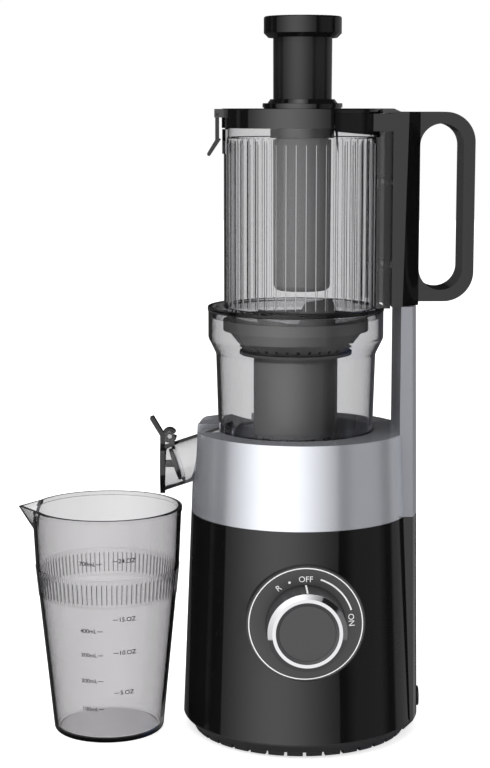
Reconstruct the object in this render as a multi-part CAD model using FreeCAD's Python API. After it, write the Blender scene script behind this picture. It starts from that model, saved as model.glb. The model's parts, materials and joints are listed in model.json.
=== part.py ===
"""Upright cold press juicer with its measuring cup.

Millimetres, +Z up. The model is drawn about the centre of the round base and written out with
its origin on the table in the middle of the space that the juicer and its cup take up.
The dial faces -Y, the juice spout and the cup are towards -X, the handle is towards +X.
"""
import FreeCAD, Part
import math
import os
from FreeCAD import Vector

os.makedirs("parts", exist_ok=True)

# Clearances
lift_gap = 0.4
turn_gap = 0.06
swing_gap = 0.3
snug_gap = 0.1

# Round body: one straight taper from the table to the top of the collar
ring_lift = 0.6
housing_low_z = 11.0
housing_top_z = 157.0
collar_top_z = 214.6
body_low_radius = 82.6
body_top_radius = 74.3
housing_wall = 3.0

# Column on the handle side, black below the collar joint and silver above it
column_half_width = 31.0
column_low_side = 84.1
column_top_side = 79.9
column_bulge = 5.3
mast_inner_x = 67.0
mast_top_z = 303.0
mast_wall = 2.5

# Base plate and feet
foot_radius = 7.0
foot_height = 4.0
foot_circle = 58.0
plate_thickness = 3.0
plate_ring_radius = 74.85
plate_ring_wall = 3.8
plate_edge_height = 1.2
plate_edge_inset = 0.7
notch_count = 36
notch_width = 2.4
notch_height = 3.0
vent_count = 7
vent_width = 2.6
vent_length = 34.0
vent_pitch = 6.0

# Screws into posts under the housing
post_radius = 4.5
post_circle = 66.0
post_height = 36.0
screw_radius = 1.9
screw_head_radius = 3.4
screw_head_height = 2.0
screw_length = 14.0

# Cord inlet
gland_z = 19.0
gland_radius = 7.0
gland_bore_radius = 3.2
gland_flange = 1.5
gland_neck_radius = 5.0

# Dial and knob
dial_z = 94.8
dial_face_y = -80.0
dial_radius = 39.5
dial_thickness = 0.9
dial_boss_radius = 40.2
knob_radius = 26.4
knob_draft = 0.7
knob_height = 24.0
knob_dial_gap = 0.5
knob_wall = 2.2
bezel_top_radius = 23.3
bezel_bore_radius = 21.0
bezel_height = 2.6
bezel_edge = 0.6
knob_face_depth = 0.8
knob_face_inner = 18.6
pointer_width = 2.2
pointer_height = 0.4
spindle_radius = 3.0
switch_width = 24.0
switch_depth = 15.0

# Bowl and the seat it stands in
bowl_x = -3.4
seat_radius = 55.5
seat_wall = 2.0
seat_floor_z = 176.0
seat_floor_thickness = 3.0
bowl_wall = 2.4
bowl_low_radius = 52.9
bowl_neck_radius = 55.6
bowl_neck_z = 268.0
bowl_top_radius = 61.0
bowl_shoulder_z = 279.0
bowl_top_z = 297.7
bowl_foot_height = 3.5
bowl_foot_inner = 47.0
bowl_floor_thickness = 3.0

# Juice spout, a round tube that slopes down away from the bowl
spout_end_x = -95.0
spout_end_z = 186.7
spout_slope = 18.2
spout_radius = 15.4
spout_wall = 2.1
spout_seat_x = -86.2
spout_seat_width = 1.6
spout_seat_lip = 2.6
spout_notch_half = 17.6

# Spout cap
cap_pin_x = -91.6
cap_pin_z = 210.0
cap_pin_radius = 1.5
cap_plate_radius = 18.2
cap_plate_thickness = 3.4
cap_clip_radius = 5.0
cap_clip_half_width = 4.6
cap_ear_thickness = 2.2
cap_ear_radius = 3.4
cap_lever_thickness = 3.0
cap_lever_reach = 7.4
cap_lever_top_z = 223.3
cap_stem_radius = 2.6
cap_seal_radius = 11.4
cap_seal_thickness = 2.2

# Pulp outlet behind the juice spout
chute_angle = 128.0
chute_reach = 91.0
chute_half_width = 16.0
chute_low_z = 180.0
chute_top_z = 212.0
chute_wall = 2.2
chute_corner_radius = 9.0
pulp_window_height = 17.0

# Strainer
drum_radius = 29.3
drum_wall = 2.3
drum_top_z = 268.0
drum_lip_radius = 39.2
cone_low_radius = 36.0
cone_low_z = 270.0
cone_top_radius = 47.3
cone_top_z = 284.5
basket_rim_radius = 50.6
basket_rim_z = 292.0
window_count = 12
window_width = 9.0
window_low = 5.0
window_height = 24.0
mesh_thickness = 0.6
mesh_slot_count = 24
mesh_slot_width = 1.4
hole_count = 32
hole_radius = 1.1
hole_lift = 2.6

# Auger
auger_radius = 25.3
auger_core_low = 13.0
auger_core_top = 10.0
auger_pitch = 34.0
auger_turns = 2.0
flight_root = 4.6
flight_tip = 2.2
auger_lift = 1.0
auger_foot = 3.0
blade_top_z = 306.0
blade_top_radius = 25.3
blade_waist_radius = 33.0
blade_waist_low_z = 278.0
blade_waist_top_z = 290.0
blade_thickness = 3.0
blade_twist = 150.0
blade_steps = 8
blade_shoulder_radius = 7.0
blade_slant = 2.6
blade_root_drop = 12.0
blade_first = -150.0
second_blade_drop = 9.0
core_top_z = 291.0
hex_width = 10.0
hex_depth = 20.0

# Hopper
hopper_x = 0.6
hopper_radius = 54.0
hopper_wall = 2.6
hopper_neck_radius = 53.2
hopper_neck_z = 416.6
hopper_top_z = 433.2
hopper_flange_radius = 61.4
hopper_flange_height = 3.2
hopper_spigot_depth = 4.0
hopper_spigot_wall = 2.2
hopper_throat_radius = 40.0
hopper_throat_z = 286.5
hopper_throat_height = 4.0
flute_pitch = 7.5
flute_width = 1.6
flute_depth = 0.8
flute_first = 30.0
block_half_width = 22.0
block_wall = 2.0
catch_half_angle = 16.0
catch_low_z = 406.0
catch_top_z = 422.6
catch_thickness = 1.1

# Rim band on the handle side of the hopper
band_start_x = 19.4
band_radius = 55.6
band_low_front_z = 421.6
band_low_side_z = 418.0
tooth_low_z = 408.0
tooth_width = 2.0
wing_width = 6.5

# Hub and handle
hub_inner_x = 60.3
hub_top_z = 434.5
hub_side_x = 80.0
hub_corner_low_x = 67.7
hub_corner_top_x = 70.9
hub_wall = 3.0
spigot_depth = 15.0
grip_half_width = 17.5
grip_outer_x = 117.7
grip_low_z = 305.4
grip_band = 7.9
grip_corner_radius = 20.5
grip_edge_round = 2.2
hub_screw_low_z = 329.0
hub_screw_top_z = 386.0
hub_screw_y = 12.0

# Lid
lid_radius = 55.4
lid_thickness = 3.3
lid_gap = 0.2
lid_skirt_z = 423.5
lid_skirt_wall = 1.6
lid_skirt_end_x = 18.8
tube_wall = 1.4
tube_low_z = 416.6
collar_disc_radius = 27.4
collar_disc_low_z = 437.3
collar_disc_height = 3.0
tube_lip_z = 443.0
lid_pin_x = 71.0
lid_pin_z = 428.2
lid_pin_radius = 2.0
lid_pin_half_length = 15.0
knuckle_radius = 4.2
knuckle_half_width = 9.5

# Latch on the lid
latch_x = -57.9
latch_pin_z = 432.6
latch_pin_radius = 1.2
latch_thickness = 2.6
latch_half_width = 9.0
latch_knee_z = 415.3
latch_tip_x = -65.6
latch_tip_z = 404.6
latch_lip = 1.2

# Pusher
pusher_radius = 20.2
pusher_low_radius = 19.6
pusher_low_z = 312.0
pusher_wall = 2.0
pusher_cap_z = 484.4
pusher_cap_radius = 26.6
pusher_cap_bevel = 3.0
pusher_cap_top_z = 499.5
pusher_plug_depth = 8.0

# Measuring cup
cup_x = -135.9
cup_y = -6.0
cup_low_radius = 38.6
cup_band_top_radius = 50.4
cup_band_top_z = 119.0
cup_rim_radius = 52.4
cup_top_z = 160.8
cup_wall = 2.4
cup_floor = 2.7
cup_band_low_z = 98.7
cup_band_proud = 0.7
cup_rib_count = 90
cup_rib_width = 1.7
cup_bead_height = 3.2
cup_bead_proud = 0.5
lip_reach = 62.1
lip_half_width = 19.0
lip_low_z = 142.0

# Drive: motor, two gear stages and the output shaft
gear_module = 1.0
pinion_teeth = 12
wheel_teeth = 48
gear_backlash = 0.14
motor_low_z = 40.0
motor_top_z = 120.0
motor_radius = 34.0
motor_wall = 2.5
rotor_radius = 27.0
rotor_end_gap = 6.0
motor_shaft_radius = 3.0
gearbox_radius = 45.0
gearbox_wall = 2.5
gearbox_floor = 3.0
gearbox_top_z = 150.0
gearbox_cover = 3.0
cover_radius = 53.0
first_stage_z = 126.5
first_stage_width = 7.0
second_stage_z = 136.5
second_stage_width = 11.0
shaft_radius = 5.0
bush_wall = 3.0
bush_height = 18.0
pillar_radius = 4.0
pillar_circle = 36.0
idler_pin_radius = 2.5
motor_screw_circle = 20.0

# Electronics
board_thickness = 1.6
board_z = 20.0
board_x = -53.0
board_half_x = 14.0
board_half_y = 22.0
sensor_size = 8.0
magnet_radius = 2.8
magnet_height = 5.0

# Values that follow from those above
seat_low_z = seat_floor_z - seat_floor_thickness
bowl_floor_z = seat_floor_z + bowl_foot_height
bowl_inside_z = bowl_floor_z + bowl_floor_thickness
hopper_flange_top_z = bowl_top_z + hopper_flange_height
hopper_inner_radius = hopper_radius - hopper_wall
lid_low_z = hopper_top_z + lid_gap
lid_top_z = lid_low_z + lid_thickness
tube_bore_radius = pusher_radius + lift_gap
plate_low_z = foot_height
plate_top_z = plate_low_z + plate_thickness
gear_distance = gear_module * (pinion_teeth + wheel_teeth) / 2
idler_x = bowl_x + gear_distance
gearbox_x = bowl_x + gear_distance / 2
gearbox_low_z = motor_top_z
latch_inner_x = latch_x + latch_thickness / 2


# Basic shapes

def path(points, place):
    """Closed wire through points; a third number rounds that corner."""
    corners = []
    for i, point in enumerate(points):
        here = Vector(point[0], point[1], 0)
        if len(point) < 3:
            corners.append((here, None, here))
            continue
        last = points[i - 1]
        following = points[(i + 1) % len(points)]
        back = (Vector(last[0], last[1], 0) - here).normalize()
        ahead = (Vector(following[0], following[1], 0) - here).normalize()
        half = back.getAngle(ahead) / 2
        reach = point[2] / math.tan(half)
        middle = (back + ahead).normalize() * (point[2] / math.sin(half) - point[2])
        corners.append((here + back * reach, here + middle, here + ahead * reach))
    edges = []
    for i, (start, middle, end) in enumerate(corners):
        if middle is not None:
            edges.append(Part.Arc(place(start), place(middle), place(end)).toShape())
        onward = corners[(i + 1) % len(corners)][0]
        if (onward - end).Length > 0.001:
            edges.append(Part.LineSegment(place(end), place(onward)).toShape())
    return Part.Wire(edges)


def turned(points, x=0.0, y=0.0):
    """Solid of revolution from (radius, z) points about the vertical through x, y."""
    wire = path(points, lambda p: Vector(x + p.x, y, p.y))
    return Part.Face(wire).revolve(Vector(x, y, 0), Vector(0, 0, 1), 360)


def flat(points, z0, z1):
    """Straight prism from (x, y) points."""
    wire = path(points, lambda p: Vector(p.x, p.y, z0))
    return Part.Face(wire).extrude(Vector(0, 0, z1 - z0))


def side_on(points, y0, y1):
    """Straight prism along Y from (x, z) points."""
    wire = path(points, lambda p: Vector(p.x, y0, p.y))
    return Part.Face(wire).extrude(Vector(0, y1 - y0, 0))


def block(x0, x1, y0, y1, z0, z1):
    return Part.makeBox(x1 - x0, y1 - y0, z1 - z0, Vector(x0, y0, z0))


def rod(radius, z0, z1, x=0.0, y=0.0):
    return Part.makeCylinder(radius, z1 - z0, Vector(x, y, z0), Vector(0, 0, 1))


def cross_rod(radius, x, z, y0, y1):
    """Cylinder along Y."""
    return Part.makeCylinder(radius, y1 - y0, Vector(x, y0, z), Vector(0, 1, 0))


def long_rod(radius, x0, x1, y, z):
    """Cylinder along X."""
    return Part.makeCylinder(radius, x1 - x0, Vector(x0, y, z), Vector(1, 0, 0))


def turn(shape, degrees, x=0.0, y=0.0):
    copy = shape.copy()
    copy.rotate(Vector(x, y, 0), Vector(0, 0, 1), degrees)
    return copy


def ring_of(shape, count, x=0.0, y=0.0, first=0.0):
    """Copies of a shape evenly round the vertical through x, y."""
    return [turn(shape, first + 360.0 * i / count, x, y) for i in range(count)]


def join(shapes):
    result = shapes[0].multiFuse(shapes[1:])
    return result.removeSplitter()


def screw(length, head_up):
    """Screw along Z with the underside of its head at z = 0."""
    sign = 1 if head_up else -1
    shank = Part.makeCylinder(screw_radius, length, Vector(0, 0, 0), Vector(0, 0, -sign))
    head = Part.makeCylinder(screw_head_radius, screw_head_height, Vector(0, 0, 0), Vector(0, 0, sign))
    return join([shank, head])


def group(shapes):
    return Part.makeCompound(shapes)


# Body taper and column

def body_radius(z):
    share = (z - housing_low_z) / (collar_top_z - housing_low_z)
    return body_low_radius + share * (body_top_radius - body_low_radius)


def body_cone(z0, z1, inset=0.0):
    return Part.makeCone(body_radius(z0) - inset, body_radius(z1) - inset, z1 - z0, Vector(0, 0, z0))


def column_side(z):
    share = (z - housing_low_z) / (mast_top_z - housing_low_z)
    return column_low_side + share * (column_top_side - column_low_side)


def column(x0, z0, z1, inset=0.0):
    """Leaning column with a gently bowed outer side, cut off square at x0."""
    half = column_half_width - inset
    side = column_side(z0) - inset
    shoulder = side - column_bulge
    corner_front = Vector(shoulder, -half, z0)
    corner_back = Vector(shoulder, half, z0)
    root_front = Vector(x0 - column_bulge, -half, z0)
    root_back = Vector(x0 - column_bulge, half, z0)
    wire = Part.Wire([
        Part.LineSegment(root_front, corner_front).toShape(),
        Part.Arc(corner_front, Vector(side, 0, z0), corner_back).toShape(),
        Part.LineSegment(corner_back, root_back).toShape(),
        Part.LineSegment(root_back, root_front).toShape(),
    ])
    lean = column_side(z1) - column_side(z0)
    solid = Part.Face(wire).extrude(Vector(lean, 0, z1 - z0))
    keep = block(x0, side + column_bulge, -half, half, z0, z1)
    return solid.common(keep)


def post_places():
    return [(post_circle * math.cos(math.radians(a)), post_circle * math.sin(math.radians(a)))
            for a in (45, 135, 225, 315)]


def pillar_places():
    reach = pillar_circle * math.sqrt(0.5)
    return [(bowl_x + i * reach, j * reach) for i in (-1, 1) for j in (-1, 1)]


# Lower body

def base_housing():
    outside = body_cone(housing_low_z, housing_top_z).fuse(column(0, housing_low_z, housing_top_z))
    boss = cross_rod(dial_boss_radius, 0, dial_z, dial_face_y + dial_thickness, 0)
    shell = outside.fuse(boss)
    inner_cone = body_cone(housing_low_z, housing_top_z, housing_wall)
    inner_column = column(0, housing_low_z, housing_top_z, housing_wall)
    boss_back_y = dial_face_y + dial_thickness + housing_wall
    inner_boss = cross_rod(dial_boss_radius - housing_wall, 0, dial_z, boss_back_y, 0)
    shell = shell.cut(inner_cone.fuse(inner_column).fuse(inner_boss))
    recess = cross_rod(dial_radius + snug_gap, 0, dial_z, -body_low_radius, dial_face_y + dial_thickness)
    shell = shell.cut(recess)
    shell = shell.cut(cross_rod(spindle_radius + swing_gap, 0, dial_z, dial_face_y - 1, boss_back_y + 1))
    shell = shell.cut(long_rod(gland_neck_radius, column_half_width, column_low_side + 5, 0, gland_z))
    posts = []
    for x, y in post_places():
        angle = math.degrees(math.atan2(y, x))
        rib = block(post_circle, body_low_radius, -1.5, 1.5, housing_low_z, housing_low_z + post_height)
        post = rod(post_radius, plate_top_z, housing_low_z + post_height, x, y)
        pilot = rod(screw_radius + snug_gap, plate_top_z, plate_low_z + screw_length + 2, x, y)
        rib = turn(rib, angle).common(body_cone(housing_low_z, housing_top_z, housing_wall / 2))
        posts.append(post.fuse(rib).cut(pilot))
    return join([shell] + posts)


def base_plate():
    edge = body_low_radius - plate_edge_inset
    edge_low_z = housing_low_z - plate_edge_height
    slope = edge_low_z - plate_low_z
    plate = turned([
        (0, plate_low_z),
        (plate_ring_radius - plate_ring_wall, plate_low_z),
        (plate_ring_radius - plate_ring_wall, ring_lift),
        (plate_ring_radius, ring_lift),
        (edge - slope, plate_low_z),
        (edge, edge_low_z),
        (edge, housing_low_z),
        (edge - plate_thickness, housing_low_z),
        (edge - slope - plate_thickness / 2, plate_top_z),
        (0, plate_top_z),
    ])
    foot = column(0, plate_low_z, housing_low_z, plate_edge_inset)
    trim = Part.makeCone(column_low_side - slope, column_low_side + 2, slope + 2, Vector(0, 0, plate_low_z))
    foot = foot.common(trim).cut(rod(plate_ring_radius - 1, plate_low_z, housing_low_z))
    notch = block(plate_ring_radius - plate_ring_wall - 1, plate_ring_radius + 2,
                  -notch_width / 2, notch_width / 2, ring_lift, ring_lift + notch_height)
    vents = [block(-vent_width / 2, vent_width / 2, -vent_length / 2, vent_length / 2,
                   plate_low_z, plate_top_z) for _ in range(vent_count)]
    for i, vent in enumerate(vents):
        vent.translate(Vector(bowl_x + (i - (vent_count - 1) / 2) * vent_pitch, 0, 0))
    holes = [rod(screw_radius + snug_gap, plate_low_z, plate_top_z, x, y) for x, y in post_places()]
    plate = plate.fuse(foot).cut(ring_of(notch, notch_count, first=-90) + vents + holes)
    standoffs = [rod(post_radius, plate_top_z, board_z, x, y) for x, y in board_corners()]
    return join([plate] + standoffs)


def board_corners():
    inset = 4.0
    return [(board_x + i * (board_half_x - inset), j * (board_half_y - inset))
            for i in (-1, 1) for j in (-1, 1)]


def rubber_feet():
    foot = turned([(0, 0), (foot_radius - 1, 0), (foot_radius, 1), (foot_radius, foot_height), (0, foot_height)],
                  foot_circle)
    return group(ring_of(foot, 4, first=0))


def housing_screws():
    screws = []
    for x, y in post_places():
        one = screw(screw_length, head_up=False)
        one.translate(Vector(x, y, plate_low_z))
        screws.append(one)
    return group(screws)


def cord_gland():
    side = column_side(gland_z)
    neck = long_rod(gland_neck_radius - snug_gap, side - 2 * housing_wall, side + gland_flange, 0, gland_z)
    flange = long_rod(gland_radius, side + swing_gap / 2, side + gland_flange, 0, gland_z)
    bore = long_rod(gland_bore_radius, side - 3 * housing_wall, side + 2 * gland_flange, 0, gland_z)
    return join([neck, flange]).cut(bore)


# Collar with the bowl's seat

def spout_notch(margin=0.0):
    half = spout_notch_half + margin
    low = seat_floor_z - 1 - margin
    round_part = long_rod(half, -body_low_radius, bowl_x, 0, low + half)
    slot = block(-body_low_radius, bowl_x, -half, half, low + half, collar_top_z + 1)
    return round_part.fuse(slot)


def chute_tunnel(inset, start, reach, top_z):
    """Round-shouldered tunnel from the bowl's axis outwards, turned to its angle."""
    half = chute_half_width - inset
    low = chute_low_z + inset
    top = top_z - inset
    round_top = chute_corner_radius - max(inset, 0)
    wire = path([(-half, low), (half, low), (half, top, round_top), (-half, top, round_top)],
                lambda p: Vector(bowl_x + start, p.x, p.y))
    tunnel = Part.Face(wire).extrude(Vector(reach - start, 0, 0))
    return turn(tunnel, chute_angle, bowl_x)


def collar():
    top = collar_top_z + 1
    seat = rod(seat_radius + seat_wall, seat_low_z, top, bowl_x)
    lining = spout_notch(seat_wall).cut(rod(seat_radius, 0, top, bowl_x))
    void = body_cone(housing_top_z, collar_top_z - housing_wall, housing_wall).cut([seat, lining])
    whole = body_cone(housing_top_z, collar_top_z).cut(void)
    notch = spout_notch().cut(rod(seat_radius, 0, seat_floor_z, bowl_x))
    chute_notch_top = collar_top_z + chute_corner_radius + 1
    chute_notch = chute_tunnel(-lift_gap, bowl_low_radius - 5, chute_reach, chute_notch_top)
    holes = [rod(screw_radius + snug_gap, seat_low_z, seat_floor_z, x, y) for x, y in pillar_places()]
    holes.append(rod(shaft_radius + 1, seat_low_z, seat_floor_z, bowl_x))
    return whole.cut([rod(seat_radius, seat_floor_z, top, bowl_x), notch, chute_notch] + holes)


def bowl_outside():
    return turned([
        (0, seat_floor_z),
        (bowl_low_radius, seat_floor_z),
        (bowl_neck_radius, bowl_neck_z, 6),
        (bowl_top_radius, bowl_shoulder_z, 5),
        (bowl_top_radius, bowl_top_z),
        (0, bowl_top_z),
    ], bowl_x)


def pulp_chute():
    outer = chute_tunnel(0, 0, chute_reach, chute_top_z)
    inner = chute_tunnel(chute_wall, 0, chute_reach - chute_wall, chute_top_z)
    drop_low = chute_low_z - 1
    drop = block(body_top_radius + 2, chute_reach - chute_wall, -chute_half_width + chute_wall,
                 chute_half_width - chute_wall, drop_low, chute_low_z + 2 * chute_wall)
    drop.translate(Vector(bowl_x, 0, 0))
    chute = outer.cut(inner).cut(turn(drop, chute_angle, bowl_x))
    return chute.cut(bowl_outside())


def mast():
    outside = column(mast_inner_x, housing_top_z, mast_top_z)
    outside = outside.cut(body_cone(housing_top_z, collar_top_z))
    inside = column(mast_inner_x + mast_wall, collar_top_z + mast_wall, mast_top_z, mast_wall)
    return outside.cut(inside)


# Dial, knob and switch

def dial_plate():
    plate = cross_rod(dial_radius, 0, dial_z, dial_face_y, dial_face_y + dial_thickness)
    return plate.cut(cross_rod(spindle_radius + swing_gap, 0, dial_z, dial_face_y - 1, dial_face_y + 2))


def knob_turned(points):
    """Solid of revolution about the knob's axis from (radius, distance from the dial) points."""
    wire = path(points, lambda p: Vector(p.x, dial_face_y - p.y, dial_z))
    return Part.Face(wire).revolve(Vector(0, 0, dial_z), Vector(0, 1, 0), 360)


def knob_body():
    """Plain drum of the knob, open at the back, with a raised pointer line on top."""
    web_front = knob_dial_gap + knob_height - bezel_height
    web_back = web_front - knob_wall
    sleeve_back = web_back - knob_height / 3
    body = knob_turned([
        (spindle_radius, sleeve_back),
        (spindle_radius + knob_wall, sleeve_back),
        (spindle_radius + knob_wall, web_back),
        (knob_radius - knob_wall, web_back),
        (knob_radius - knob_draft - knob_wall, knob_dial_gap),
        (knob_radius - knob_draft, knob_dial_gap),
        (knob_radius, web_front),
        (spindle_radius, web_front),
    ])
    pointer = side_on([
        (-pointer_width / 2, dial_z + knob_radius - knob_wall),
        (pointer_width / 2, dial_z + knob_radius - knob_wall),
        (pointer_width / 2, dial_z + knob_radius + pointer_height),
        (-pointer_width / 2, dial_z + knob_radius + pointer_height),
    ], dial_face_y - web_front, dial_face_y - knob_dial_gap)
    return join([body, pointer])


def knob_bezel():
    """Bright ring round the knob's front edge, with a wide bevel outside and a flat lip inside."""
    front = knob_dial_gap + knob_height
    back = front - bezel_height
    return knob_turned([
        (bezel_bore_radius, back),
        (knob_radius, back),
        (knob_radius, back + bezel_edge),
        (bezel_top_radius, front),
        (bezel_bore_radius, front),
    ])


def knob_face():
    """Dark disc inside the bezel, dished between its rim and a flat middle."""
    front = knob_dial_gap + knob_height - knob_face_depth / 2
    back = knob_dial_gap + knob_height - bezel_height
    return knob_turned([
        (0, back),
        (bezel_bore_radius, back),
        (bezel_bore_radius, front),
        (knob_face_inner + 0.4, front - knob_face_depth),
        (knob_face_inner, front - knob_face_depth / 2),
        (0, front - knob_face_depth / 2),
    ])


def knob_spindle():
    front_y = dial_face_y - knob_dial_gap - knob_height + bezel_height
    back_y = switch_front_y() + switch_depth / 2
    return cross_rod(spindle_radius, 0, dial_z, front_y, back_y)


def switch_front_y():
    return dial_face_y + dial_thickness + housing_wall


def rotary_switch():
    half = switch_width / 2
    front = switch_front_y()
    body = block(-half, half, front, front + switch_depth, dial_z - half, dial_z + half)
    tabs = [block(x - 1, x + 1, front + switch_depth, front + switch_depth + 6, dial_z - 4, dial_z + 4)
            for x in (-half / 2, 0, half / 2)]
    body = join([body] + tabs)
    return body.cut(cross_rod(spindle_radius + turn_gap, 0, dial_z, front, front + switch_depth / 2 + swing_gap))


# Motor and gears

def gear(teeth, z0, z1, x, phase, bore):
    """Spur gear with involute flanks drawn as two straight steps."""
    pitch_radius = gear_module * teeth / 2
    base_radius = pitch_radius * math.cos(math.radians(20))
    tip = pitch_radius + 0.85 * gear_module
    root = pitch_radius - 1.2 * gear_module
    half_tooth = math.pi / (2 * teeth) - gear_backlash / (2 * pitch_radius)

    def involute(radius):
        angle = math.acos(min(1.0, base_radius / radius))
        return math.tan(angle) - angle

    def half_angle(radius):
        return half_tooth + involute(pitch_radius) - involute(max(radius, base_radius))

    radii = [root, max(base_radius, root + 0.1), pitch_radius, tip]
    points = []
    for tooth in range(teeth):
        middle = math.radians(phase) + 2 * math.pi * tooth / teeth
        rising = [(radius, middle - half_angle(radius)) for radius in radii]
        falling = [(radius, middle + half_angle(radius)) for radius in reversed(radii)]
        points += [(x + radius * math.cos(a), radius * math.sin(a)) for radius, a in rising + falling]
    wheel = flat(points, z0, z1)
    if bore:
        wheel = wheel.cut(rod(bore, z0, z1, x))
    return wheel


def motor_can():
    can = rod(motor_radius, motor_low_z, motor_top_z, bowl_x)
    can = can.cut(rod(motor_radius - motor_wall, motor_low_z + motor_wall, motor_top_z - motor_wall, bowl_x))
    can = can.cut(rod(motor_shaft_radius + turn_gap, motor_low_z, motor_top_z, bowl_x))
    window = block(motor_radius - motor_wall - 2, motor_radius + 2, -6, 6, motor_low_z + 8, motor_low_z + 20)
    window.translate(Vector(bowl_x, 0, 0))
    holes = [rod(screw_radius + snug_gap, motor_top_z - motor_wall, motor_top_z, bowl_x + motor_screw_circle * i)
             for i in (-1, 1)]
    return can.cut(ring_of(window, 6, bowl_x) + holes)


def motor_rotor():
    z0 = motor_low_z + motor_wall + rotor_end_gap
    z1 = motor_top_z - motor_wall - rotor_end_gap
    core = rod(rotor_radius, z0, z1, bowl_x)
    slot = block(rotor_radius - 6, rotor_radius + 1, -1.2, 1.2, z0, z1)
    slot.translate(Vector(bowl_x, 0, 0))
    core = core.cut(ring_of(slot, 12, bowl_x))
    return core.cut(rod(motor_shaft_radius, z0, z1, bowl_x))


def motor_shaft():
    shaft = rod(motor_shaft_radius, motor_low_z - 2, first_stage_z - 1, bowl_x)
    pinion = gear(pinion_teeth, first_stage_z - 1, first_stage_z + first_stage_width + 0.5, bowl_x, 0, 0)
    return join([shaft, pinion])


def motor_screws():
    screws = []
    for i in (-1, 1):
        one = screw(gearbox_floor + motor_wall, head_up=True)
        one.translate(Vector(bowl_x + i * motor_screw_circle, 0, gearbox_low_z + gearbox_floor))
        screws.append(one)
    return group(screws)


def gearbox_housing():
    case = rod(gearbox_radius, gearbox_low_z, gearbox_top_z, gearbox_x)
    case = case.cut(rod(gearbox_radius - gearbox_wall, gearbox_low_z + gearbox_floor, gearbox_top_z, gearbox_x))
    holes = [rod(screw_radius + snug_gap, gearbox_low_z, gearbox_low_z + gearbox_floor,
                 bowl_x + motor_screw_circle * i) for i in (-1, 1)]
    holes.append(rod(pinion_teeth * gear_module, gearbox_low_z, gearbox_low_z + gearbox_floor, bowl_x))
    holes.append(rod(idler_pin_radius, gearbox_low_z, gearbox_low_z + gearbox_floor, idler_x))
    return case.cut(holes)


def gearbox_lid():
    z1 = gearbox_top_z + gearbox_cover
    plate = rod(cover_radius, gearbox_top_z, z1, gearbox_x)
    boss = rod(shaft_radius + 2 * bush_wall, gearbox_top_z, gearbox_top_z + bush_height, bowl_x)
    pillars = [rod(pillar_radius, gearbox_top_z, seat_low_z, x, y) for x, y in pillar_places()]
    whole = join([plate, boss] + pillars)
    holes = [rod(screw_radius + snug_gap, seat_low_z - screw_length, seat_low_z, x, y)
             for x, y in pillar_places()]
    holes.append(rod(shaft_radius + bush_wall, gearbox_top_z, gearbox_top_z + bush_height, bowl_x))
    holes.append(rod(idler_pin_radius, gearbox_top_z, z1, idler_x))
    return whole.cut(holes)


def gearbox_screws():
    screws = []
    for x, y in pillar_places():
        one = screw(screw_length, head_up=True)
        one.translate(Vector(x, y, seat_floor_z))
        screws.append(one)
    return group(screws)


def shaft_bush():
    z1 = gearbox_top_z + bush_height
    bush = rod(shaft_radius + bush_wall, gearbox_top_z, z1, bowl_x)
    return bush.cut(rod(shaft_radius + turn_gap, gearbox_top_z, z1, bowl_x))


def idler_pin():
    return rod(idler_pin_radius, gearbox_low_z, gearbox_top_z + gearbox_cover, idler_x)


def idler_gear():
    bore = idler_pin_radius + turn_gap
    half_step = 180.0 / wheel_teeth
    wheel = gear(wheel_teeth, first_stage_z, first_stage_z + first_stage_width, idler_x, half_step, bore)
    low = first_stage_z + first_stage_width
    pinion = gear(pinion_teeth, low, second_stage_z + second_stage_width + 0.5, idler_x, 0, bore)
    return join([wheel, pinion])


def drive_gear():
    half_step = 180.0 / wheel_teeth
    top = second_stage_z + second_stage_width
    return gear(wheel_teeth, second_stage_z, top, bowl_x, half_step, shaft_radius)


def hexagon(width, z0, z1):
    corner = width / math.sqrt(3)
    points = [(bowl_x + corner * math.cos(math.radians(60 * i)), corner * math.sin(math.radians(60 * i)))
              for i in range(6)]
    return flat(points, z0, z1)


def hex_low_z():
    return bowl_inside_z + auger_lift


def drive_shaft():
    shaft = rod(shaft_radius, second_stage_z, hex_low_z(), bowl_x)
    drive = hexagon(hex_width - 2 * lift_gap, hex_low_z(), hex_low_z() + hex_depth - 1)
    return join([shaft, drive.common(rod(shaft_radius, hex_low_z(), hex_low_z() + hex_depth, bowl_x))])


def control_board():
    top = board_z + board_thickness
    board = block(board_x - board_half_x, board_x + board_half_x, -board_half_y, board_half_y, board_z, top)
    coil = block(board_x - 8, board_x + 8, 2, 18, top, top + 14)
    can = rod(5, top, top + 16, board_x, -8)
    plug = block(board_x - 10, board_x - 2, -20, -15, top, top + 9)
    return join([board, coil, can, plug])


# Bowl

def spout_direction():
    slope = math.radians(spout_slope)
    return Vector(-math.cos(slope), 0, -math.sin(slope))


def spout_point(x):
    """Point on the spout's centre line at a given x."""
    return Vector(x, 0, spout_end_z + (x - spout_end_x) * math.tan(math.radians(spout_slope)))


def spout_rod(radius, x_start, length):
    return Part.makeCylinder(radius, length, spout_point(x_start), spout_direction())


def bowl_radius(z):
    """Outer radius of the bowl below its neck."""
    share = (z - seat_floor_z) / (bowl_neck_z - seat_floor_z)
    return bowl_low_radius + share * (bowl_neck_radius - bowl_low_radius)


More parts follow.
